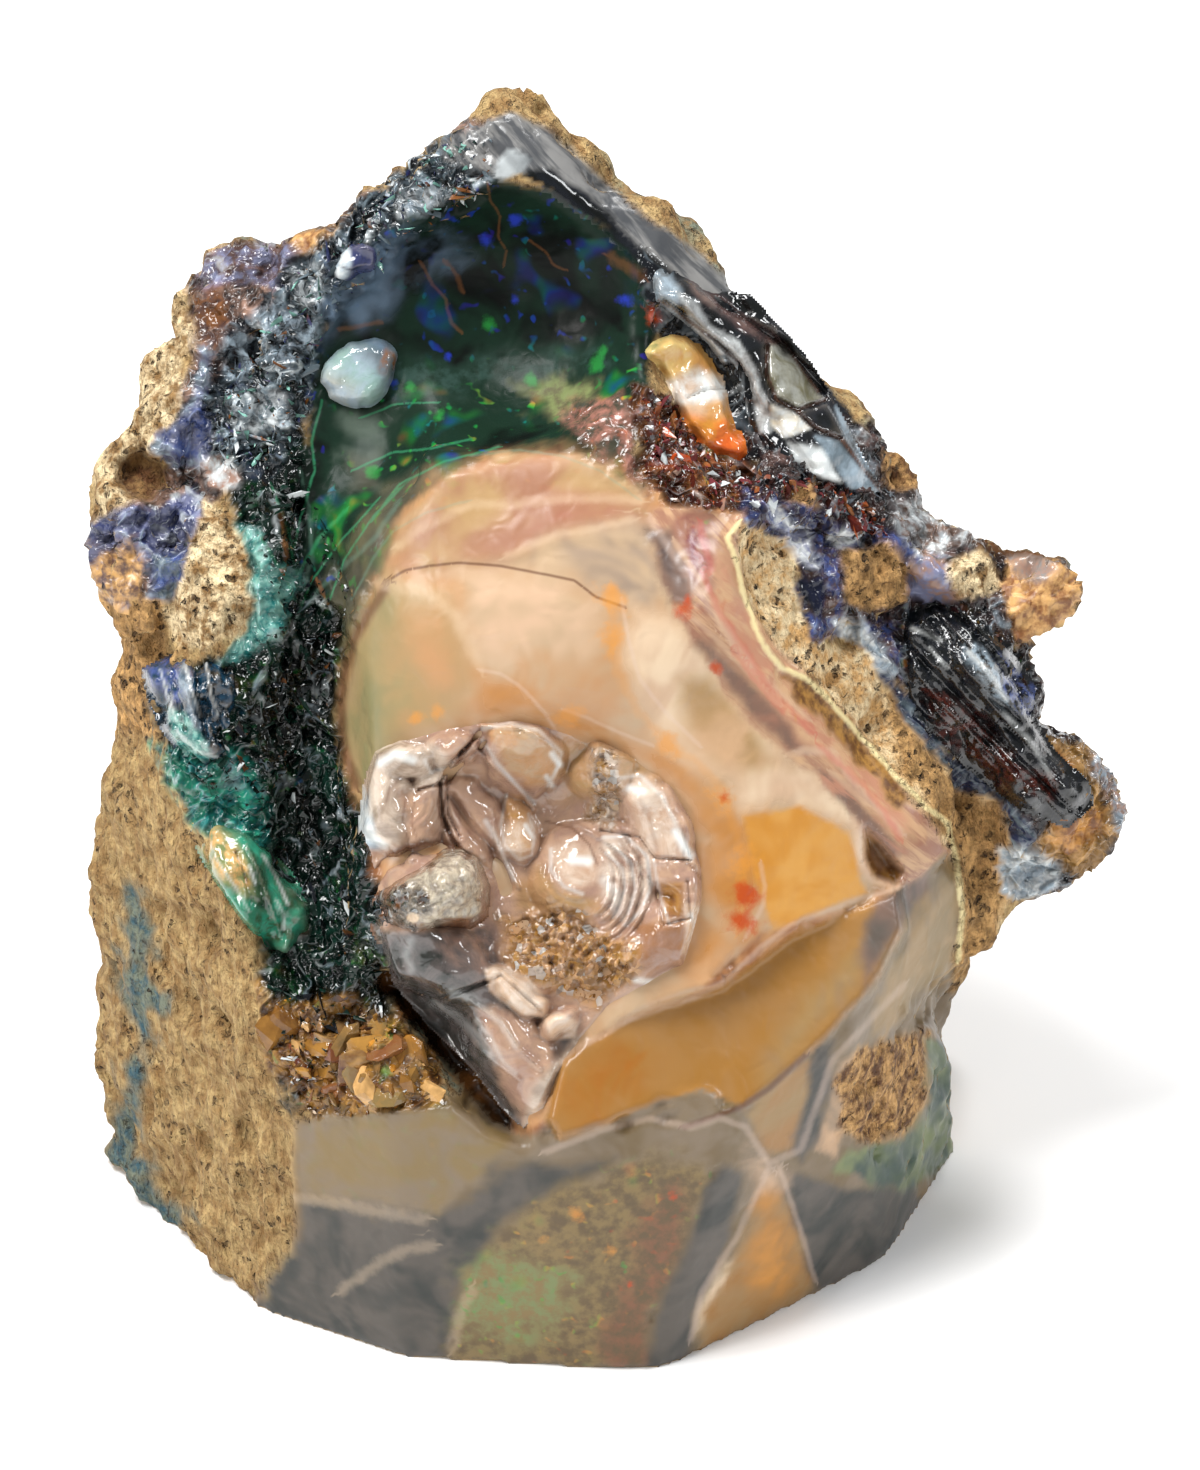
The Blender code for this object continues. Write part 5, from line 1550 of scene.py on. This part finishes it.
        rows=rows_of("""
streak_silver slate_pale glass_black fine 0.6 0.6 0.05 246,60 259,54 275,33 280,18 269,21 256,37
red_streaks garnet glass_black fine 0.8 0.8 0.05 219,30 242,24 283,-17 310,-30 303,-44 269,-30 229,0
streak_blue violet_blue glass_black fine 0.5 0.6 0.05 269,54 296,30 293,13 281,15 273,30
"""),
        lobes=rows_of("""
-48 1.6 6.06 2.69 246,37
-42 1.4 4.71 2.42 283,-17
"""),
        creases=rows_of("""
0.35 0.7 202,64 229,37 256,9 289,-24 316,-50
0.3 -0.5 215,79 239,54 262,24 283,0 311,-27
0.3 0.6 236,85 259,64 279,37 289,15
0.25 -0.5 209,47 232,20 259,-7 289,-37
0.25 -0.45 225,85 248,61 269,30 287,9
"""),
        ripples=rows_of("0.81 3.36 190 300 0.47 0.3 304,59"),
        rough=rows_of("1.8 0.3 201,77 296,64 336,-44 283,-54 205,20"),
        milk=rows_of("""
0.3 0.6 248,56 262,42 273,24
0.2 0.5 222,59 234,45
0.25 0.35 210,72 229,64
0.3 0.3 272,15 289,-3 304,-28
"""),
        ribs=(-46, 0.7, 5.0, 0.9), sheen=0.01,
    ),
    "teal_flutes": dict(
        outline=path("""
-310,45 -291,55 -266,52 -248,53 -242,30 -242,7 -246,-14 -265,-22 -283,-14 -297,3 -306,25
"""),
        grain=0.15, blur=40, edge=0.5, base=("teal_blue", "glass_black", "fine", 0.06),
        rows=rows_of("""
crystal_blue teal_blue violet_blue fine 0.8 0.6 0.05 -306,48 -279,53 -272,30 -284,20 -302,28
silver teal_pale teal_deep fine 0.6 0.6 0.05 -292,21 -280,15 -265,-5 -260,-18 -272,-18 -285,-3
crystal_glint slate_pale teal_blue streak 0.4 0.4 0.05 -284,49 -279,49 -273,24 -268,3 -273,6 -280,24
"""),
        lobes=rows_of("""
20 1.5 1.35 1.75 -292,34
12 1.9 1.21 2.69 -279,24
0 1.6 1.21 2.42 -264,26
-30 1.5 2.02 1.35 -271,-3
-8 1.2 0.94 2.02 -252,24
"""),
        creases=rows_of("""
0.25 0.5 -288,50 -285,28 -279,3
0.25 0.5 -272,49 -271,24 -264,-3
0.18 -0.5 -280,50 -277,28 -272,7
0.18 -0.4 -265,48 -262,26 -258,6
"""),
        rough=rows_of("1.3 0.5 -310,50 -242,53 -242,-17 -296,-3"),
        milk=rows_of("""
0.14 0.5 -296,44 -291,26 -285,9
0.16 0.6 -279,48 -275,30 -269,13
0.12 0.5 -265,48 -262,29 -257,13
0.2 0.5 -285,3 -272,-11 -258,-15
"""),
        drop=0.3,
    ),
    "green_lump": dict(
        outline=path("""
-277,-59 -258,-53 -240,-64 -222,-75 -206,-92 -194,-114 -194,-138 -211,-149 -229,-143 -245,-122
-262,-98 -273,-77
"""),
        grain=0.15, blur=40, edge=0.5, base=("sea_bright", "sea_green", "cloud", 0.06),
        rows=rows_of("""
lump_tan wood_gold moss_green fine 1 0.5 0.1 -277,-57 -256,-61 -240,-77 -227,-100 -230,-112
  -244,-104 -260,-90 -271,-77
lump_deep glass_green sea_green cloud 0.8 0.3 0.05 -236,-85 -227,-87 -221,-108 -223,-125 -232,-115
  -237,-100
lump_tip sea_green sea_bright fine 1 0.5 0.05 -242,-116 -202,-122 -202,-142 -227,-143
"""),
        lobes=rows_of("""
-56 2.3 4.85 2.29 -236,-100
-60 2.3 2.69 2.02 -218,-119
"""),
        creases=rows_of("""
0.2 -0.4 -238,-75 -230,-91 -223,-112 -215,-135
0.22 0.4 -245,-79 -238,-98 -234,-114
"""),
        rough=rows_of("1.4 0.3 -277,-57 -194,-111 -202,-149 -269,-98"),
        milk=rows_of("""
0.16 0.35 -265,-67 -258,-84 -245,-103 -236,-119
0.18 0.6 -227,-81 -218,-95 -210,-114
0.16 0.5 -236,-88 -232,-100
0.16 0.45 -218,-111 -213,-120 -213,-131
"""),
        drop=0.4,
    ),
}


def lay_plate(name, outline, grain, blur, edge, base, rows=(), lobes=(), creases=(), ripples=(),
              rough=(), milk=(), ink=(), wave=0.15, drop=0.0, ribs=None, sheen=0.10):
    """Makes one glass piece on the face from its tables, and paints it. Between the lobes it
    lies below the face by drop."""
    plate = Plate(outline, grain, surface_tree(*stone_surface()), blur)
    for turn, height, wide, tall, (centre,) in lobes:
        plate.lobe(np.array(centre), (wide, tall), turn, height)
    plate.height = plate.blurred(plate.height, 2)
    for width, depth, line in creases:
        plate.groove(line, width, depth)
    for inner, outer, start, end, length, height, (centre,) in ripples:
        plate.ripples(np.array(centre), (inner, outer), (start, end), length, height)
    for size, height, where in rough:
        plate.rough(size, height, smoothstep(0.0, 1.0, depth_inside(plate.spots, where)))
    if ribs:
        turn, across, along, height = ribs
        way = np.array((math.cos(math.radians(turn)), math.sin(math.radians(turn))))
        laid = np.column_stack([
            plate.spots @ way / along, plate.spots @ (-way[1], way[0]) / across,
            np.zeros(len(plate.spots)),
        ])
        plate.height += height * (0.5 - np.abs(fractal(laid, 1.0, 4, 2.0)))
    plate.rough(2.5, wave)
    plate.height -= drop
    mesh = plate.mesh(name, edge)
    points = numbers(mesh.vertices, "co", 3) / MM
    first, second, pattern, roughness = base
    count = len(points)
    ground = (
        np.tile(palette()[first], (count, 1)), np.tile(palette()[second], (count, 1)),
        np.full(count, PATTERNS[pattern]), np.full(count, roughness),
    )
    spots = on_sheet(points)
    paint(mesh, points, spots, np.full(count, FAR_OFF), rows, ground)
    # Pale lines are milky bands and painted highlights; dark lines are cracks, and in the heart
    # also a painted shadow above the wood knob.
    for kind, lines in (("milk", milk), ("ink", ink)):
        share = np.zeros(count)
        for width, strength, line in lines:
            gap, _, _ = side_gaps(spots, line, closed=False)
            share = np.maximum(share, strength * (1.0 - smoothstep(0.0, width, gap)))
        keep_numbers(mesh, kind, share)
    return show(name, mesh, glass_finish(name.replace("_", " ").capitalize(), palette(), sheen))


def lay_plates(*names):
    """Lays several glass pieces, and says that an operator is done."""
    for name in names:
        lay_plate(name, **PLATES[name])
    return {"FINISHED"}


class WOODOPAL_OT_heart(bpy.types.Operator):
    """Lays the glassy heart into its hollow, and the wood knob at its side"""

    bl_idname = "woodopal.heart"
    bl_label = "Glassy heart"

    def execute(self, context):
        return lay_plates("glass_heart", "wood_knob")


class WOODOPAL_OT_bowl(bpy.types.Operator):
    """Sets the pale lobes, the sunset patch and the flutes into the dark bowl"""

    bl_idname = "woodopal.bowl"
    bl_label = "Glass in the bowl"

    def execute(self, context):
        return lay_plates("pale_lobe", "blue_bead", "sunset_patch", "flutes")


class WOODOPAL_OT_sides(bpy.types.Operator):
    """Lays the streaked glass at the right and the coloured lumps at the left"""

    bl_idname = "woodopal.sides"
    bl_label = "Glass at the sides"

    def execute(self, context):
        return lay_plates("streaked_glass", "teal_flutes", "green_lump")


class WOODOPAL_OT_crumbs(bpy.types.Operator):
    """Strews the broken glass and the wood crumbs"""

    bl_idname = "woodopal.crumbs"
    bl_label = "Crumbs and chips"

    def execute(self, context):
        colours = palette()
        for name, count, areas, sizes, long, roughness, edge, stops in CHIPS:
            finish = chip_finish(name.replace("_", " ").capitalize(), stops, roughness, colours)
            outlines = [AREA_OUTLINES[area] for area in areas]
            # Rocks sit deeper than chips, and are rounder.
            lift, corners = (-0.25, 40) if name == "ledge_rocks" else (-0.1, 9)
            scatter(name, count, outlines, sizes, long, lift, len(name), finish, corners, edge)
        return {"FINISHED"}


# Piece, how many, areas, (smallest, largest) mm, how much longer than wide, roughness, how far
# inside its areas mm, and tones.
CHIPS = [
    ("gully_chips", 900, ["crumb_dark"], (0.2, 0.9), 4.0, 0.04, 0.8, [
        (0.0, "glass_black"), (0.55, "glass_green"), (0.68, "glass_black"), (0.86, "glass_smoke"),
        (0.92, "umber"), (0.96, "crest_white")]),
    ("crest_chips", 620, ["glass_high"], (0.12, 0.62), 6.0, 0.05, 0.5, [
        (0.0, "glass_black"), (0.30, "slate_glass"), (0.36, "glass_black"), (0.56, "teal_pale"),
        (0.60, "glass_black"), (0.70, "violet_deep"), (0.76, "umber"), (0.82, "copper"),
        (0.86, "slate_pale"), (0.93, "crest_white")]),
    ("ledge_rocks", 60, ["crumb_gold"], (1.2, 4.2), 1.5, 0.12, 1.0, [
        (0.0, "umber"), (0.16, "amber_brown"), (0.34, "moss_brown"), (0.5, "honey"),
        (0.62, "olive_tan"), (0.74, "copper"), (0.84, "garnet"), (0.90, "wood_brown"),
        (0.97, "wood_gold")]),
    ("amber_chips", 220, ["crumb_gold"], (0.2, 0.8), 1.8, 0.15, 0.4, [
        (0.0, "umber"), (0.3, "amber_brown"), (0.5, "moss_brown"), (0.75, "umber"),
        (0.9, "wood_gold"), (0.98, "crest_white")]),
    ("garnet_chips", 560, ["red_crystals", "gold_shards"], (0.22, 1.05), 3.0, 0.04, 0.5, [
        (0.0, "glass_black"), (0.26, "garnet"), (0.46, "crimson"), (0.58, "garnet"),
        (0.70, "copper"), (0.78, "spot_red"), (0.84, "glass_lilac"), (0.90, "glass_black"),
        (0.94, "crest_white")]),
    ("heart_chips", 700, ["heart_crumbs", "high_crumbs"], (0.10, 0.40), 2.2, 0.05, 0.0, [
        (0.0, "umber"), (0.3, "amber_brown"), (0.6, "glass_brown"), (0.85, "amber_glass"),
        (0.97, "glass_pale")]),
]


class OpalSizes(bpy.types.PropertyGroup):
    """Sizes that shape the finished stone."""

    front_grain: FloatProperty(
        name="Front grain", description="Size of the face's mesh squares", default=0.00036,
        min=0.0002, max=0.002, unit="LENGTH",
    )
    back_grain: FloatProperty(
        name="Back grain", description="Size of the back's mesh squares", default=0.0007,
        min=0.0002, max=0.002, unit="LENGTH",
    )
    split: FloatProperty(
        name="Split", description="Where the fine face ends and the coarser back begins",
        default=0.010, unit="LENGTH",
    )
    floor_width: FloatProperty(
        name="Floor width", description="Width of the floor", default=3.0, unit="LENGTH"
    )


# Each colour: its name, its code and what it colours.
# The cracks' brown also paints shade along the dome's left edge and above the knob.
# The crest's olive paints a reflection on the flutes.
# The pits' dark brown is their painted shade, and the colour of the rind's specks.
COLOUR_LIST = """
strip_rose 8f5c39 Base of the banded strip
wood_tan c2a571 Main colour of the wood rind
wood_brown 927043 Dark fibres of the rind
wood_grey 777e6c Dull patches of the rind
wood_gold d2a468 Warm porous wood
wood_pale f4deb2 Light porous wood
umber 5e3917 Dark brown in pits and tips
pit_dark 4a3216 Depth of the pits in the wood
slate_blue 335865 Blue potch streaks in the rind
slate_glass 66747c Blue grey glass
slate_dark 2d302d Dark ground potch
slate_lilac 575049 Lilac ground potch
violet_pale 7f83a0 Light violet glass
violet_deep 3a4168 Deep violet glass
violet_brown 5c4641 Violet glass over wood
violet_blue 44548a Blue glass
glass_black 0a0d0c Black glass
glass_green 0f2b22 Green black glass
glass_smoke 181b21 Smoky black glass
teal_pale 86bcae Light teal glass
teal_deep 237672 Deep teal glass
teal_slate 2d433c Ground teal potch
amber_brown aa7c3a Amber crumbs
opal_black 0d0f0e Darkest opal
opal_ink 172a20 Green ink opal
opal_slate 62768a Grey sheen in the dark opal
opal_moss 454337 Moss opal
opal_green 172a1f Green opal
opal_rose 9a6a5c Rose flecks
crest_grey 5e6264 Grey glass of the crest
crest_shade 45474a Dark streaks of the crest
crest_pale 838280 Light glass of the crest
crest_olive 93948c Olive glass of the crest
crest_white cdd3d4 White glass of the crest
garnet 4e1f16 Dark red crystals
garnet_dull 7a5238 Dull red potch
peach b98b60 Main opal
cream b79c7d Light opal
flush 96694f Pink flush of the cap
veil_grey 93806f Greyish veil of the opal
tan_opal a8875c Tan depths of the opal
cream_rose caa98b Rosy cream opal
amber_opal b37a3d Amber opal round the heart
salmon 9a6651 Pink opal
olive_pale 7e7b56 Grey green opal
olive_cream 98865d Olive opal
peach_rose c7a17c Rosy opal
cloud_white dfc6a7 White clouds in the opal
honey c4842f Honey opal
honey_light d0994e Lighter honey opal
honey_pale d29852 Light honey opal
caramel 9c5c1a Orange opal
facet_gold 96692d Golden ground opal
facet_sand 9a7140 Sandy ground opal
sand_orange 967a50 Sandy opal
olive_grey 6c593a Ground olive potch
olive_tan 7f6a42 Ground tan potch
moss_brown 5e4d33 Ground brown potch
moss_green 757f51 Ground green potch
lilac_grey 7d6d59 Ground lilac potch
plum 796053 Plum band
plum_dark 3a3435 Dark plum band
rose b9846a Rose band
rose_brown 986c58 Brown rose band
crack_dark 5c3826 Fine cracks
vein_pale d8c0b0 Pale veins and edges
crust_yellow f2e2a8 Yellow crust
spot_orange d88f34 Orange spots in the opal
spot_red b8430f Red spots in the opal
spot_blue 2c3fc4 Blue fire in the dark opal
spot_green 2a8f3c Green fire in the dark opal
sea_bright 2f8f72 Bright green glass at the side
glass_white e6e9e6 White milky glass
glass_brown 90633f Brown panels of the heart
amber_glass b98f66 Amber glass of the heart
teal_milk 86a49c Milky teal glass
teal_blue 12364c Blue teal glass
sea_green 38543a Green lump
cream_yellow e4c67f Cream of the sunset patch
fire_orange d97634 Fire of the sunset patch
knob_grey 8a7f70 Wood knob
knob_pale c2b6a0 Pale grains of the knob
wisp_pale 6f9482 Hair lines in the dark opal
copper 80522f Copper streaks in the dark opal
glass_lilac 9c7c6c Lilac glass of the heart
glass_rose b8967c Rosy glass of the heart
glass_pale d6c4b2 Palest glass of the heart
slate_pale 9fb0bc Pale blue grey glass
indigo 1d2346 Darkest blue glass
opal_stone 4e5a50 Grey green block in the bowl
opal_halo 5e5a41 Translucent rim of the opal
crimson 74353a Crimson opal of the strip
spot_rose c4544a Rosy lines of the strip
strand_green 3f9a6c Green threads in the glass
glass_dusk 645b58 Dark lilac glass under the heart
"""
COLOURS = {}
for entry in COLOUR_LIST.strip().splitlines():
    key, code, note = entry.split(None, 2)
    COLOURS[key] = (note, code)


class OpalColours(bpy.types.PropertyGroup):
    """Colours of the stone."""

    __annotations__ = {key: swatch(key, note, code) for key, (note, code) in COLOURS.items()}


class OpalSettings(bpy.types.PropertyGroup):
    """Everything a user may change."""

    sizes: PointerProperty(name="Sizes", type=OpalSizes)
    colours: PointerProperty(name="Colours", type=OpalColours)


def settings():
    return bpy.context.scene.wood_opal


def palette():
    """Every colour by its name."""
    colours = settings().colours
    return {name: tuple(getattr(colours, name)) for name in COLOURS}


class WOODOPAL_OT_body(bpy.types.Operator):
    """Shapes the stone's body and gives it its finish"""

    bl_idname = "woodopal.body"
    bl_label = "Stone body"

    def execute(self, context):
        sizes = settings().sizes
        colours = palette()
        finishes = (
            rind_finish(colours), opal_finish(colours, "Opal", 0.5),
            opal_finish(colours, "Deep opal", 0.12),
        )
        for name, grain, front in (
            ("stone_face", sizes.front_grain, True), ("stone_back", sizes.back_grain, False),
        ):
            piece = show(name, remeshed(grain), *finishes)
            mesh = piece.data
            shape_body(Skin(piece))
            halve(mesh, sizes.split, front)
            skin = Skin(piece)
            paint_stone(skin)
            mark_lines(skin)
            rough, deep = [
                numbers(mesh.attributes[kind].data, "value", 1).ravel()
                for kind in ("roughness", "deep")
            ]
            corners = [polygon.vertices[0] for polygon in mesh.polygons]
            choice = (rough[corners] < RIND_FROM).astype(int) + (deep[corners] > 0.5)
            mesh.polygons.foreach_set("material_index", choice)
            mesh.shade_smooth()
        return {"FINISHED"}


class WOODOPAL_OT_stage(bpy.types.Operator):
    """Sets the white floor, the lights and the camera"""

    bl_idname = "woodopal.stage"
    bl_label = "Floor, lights and camera"

    def execute(self, context):
        scene = context.scene
        width = settings().sizes.floor_width
        bpy.ops.mesh.primitive_plane_add(size=width, location=(0, width * 0.3, 0))
        floor = context.object
        floor.name = "floor"
        f = Finish("White floor")
        f.wear(FLOOR_COLOUR, FLOOR_ROUGHNESS)
        floor.data.materials.append(f.material)
        for name, place, size, power, tint in LIGHTS:
            lamp = bpy.data.lights.new(name, "AREA")
            lamp.shape = "RECTANGLE"
            lamp.size, lamp.size_y = size
            lamp.energy = power
            lamp.color = tint
            stand = bpy.data.objects.new(name, lamp)
            scene.collection.objects.link(stand)
            stand.location = place
            aim = Vector(LIGHTS_AIM) - Vector(place)
            stand.rotation_euler = aim.to_track_quat("-Z", "Y").to_euler()
        world = bpy.data.worlds.new("Studio")
        world.use_nodes = True
        sky = world.node_tree.nodes["Background"]
        sky.inputs["Color"].default_value = (1.0, 1.0, 1.0, 1.0)
        sky.inputs["Strength"].default_value = SKY_STRENGTH
        scene.world = world
        scene.view_settings.view_transform = "Standard"
        lens = bpy.data.cameras.new("Camera")
        lens.lens, lens.sensor_width = LENS, SENSOR
        lens.clip_start = 0.01
        camera = bpy.data.objects.new("Camera", lens)
        scene.collection.objects.link(camera)
        camera.location = EYE * MM
        camera.rotation_euler = Vector(SHEET_IN).to_track_quat("-Z", "Y").to_euler()
        scene.camera = camera
        return {"FINISHED"}


# (name, place, (width, height), power, colour)
LIGHTS = [
    ("Softbox key", (-0.16, -0.06, 0.50), (0.22, 0.16), 2.6, (1.0, 1.0, 1.0)),
    ("Softbox back", (0.10, 0.20, 0.52), (0.24, 0.14), 1.6, (1.0, 1.0, 1.0)),
    ("Softbox left", (-0.42, -0.24, 0.28), (0.08, 0.14), 0.9, (1.0, 0.98, 0.95)),
    ("Softbox right", (0.42, -0.20, 0.34), (0.08, 0.14), 0.9, (0.96, 0.98, 1.0)),
    ("Spark left", (-0.30, -0.10, 0.45), (0.04, 0.04), 0.2, (1.0, 1.0, 1.0)),
    ("Spark right", (0.28, 0.10, 0.45), (0.04, 0.04), 0.2, (1.0, 1.0, 1.0)),
    ("Spark low", (-0.14, -0.50, 0.12), (0.05, 0.03), 0.12, (1.0, 1.0, 1.0)),
]
LIGHTS_AIM = (0, 0, 0.035)
SKY_STRENGTH = 0.25
FLOOR_COLOUR, FLOOR_ROUGHNESS = (0.93, 0.93, 0.93), 0.7


class WOODOPAL_PT_panel(bpy.types.Panel):
    """Shows the buttons that build the stone's pieces, and the sizes and colours a user may change
    """

    bl_label = "Wood Opal"
    bl_idname = "WOODOPAL_PT_panel"
    bl_space_type = "VIEW_3D"
    bl_region_type = "UI"
    bl_category = "Wood Opal"

    def draw(self, context):
        layout = self.layout
        for operator in OPERATORS:
            layout.operator(operator.bl_idname)
        for group in (settings().sizes, settings().colours):
            box = layout.box()
            for name in type(group).__annotations__:
                box.prop(group, name)


OPERATORS = [
    WOODOPAL_OT_body, WOODOPAL_OT_heart, WOODOPAL_OT_bowl, WOODOPAL_OT_sides,
    WOODOPAL_OT_crumbs, WOODOPAL_OT_stage,
]
CLASSES = [OpalSizes, OpalColours, OpalSettings, *OPERATORS, WOODOPAL_PT_panel]


def register():
    for made in CLASSES:
        bpy.utils.register_class(made)
    bpy.types.Scene.wood_opal = PointerProperty(type=OpalSettings)


def unregister():
    del bpy.types.Scene.wood_opal
    for made in reversed(CLASSES):
        bpy.utils.unregister_class(made)


def main():
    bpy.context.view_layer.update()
    register()
    for operator in OPERATORS:
        group, name = operator.bl_idname.split(".")
        getattr(getattr(bpy.ops, group), name)()


if __name__ == "__main__":
    main()
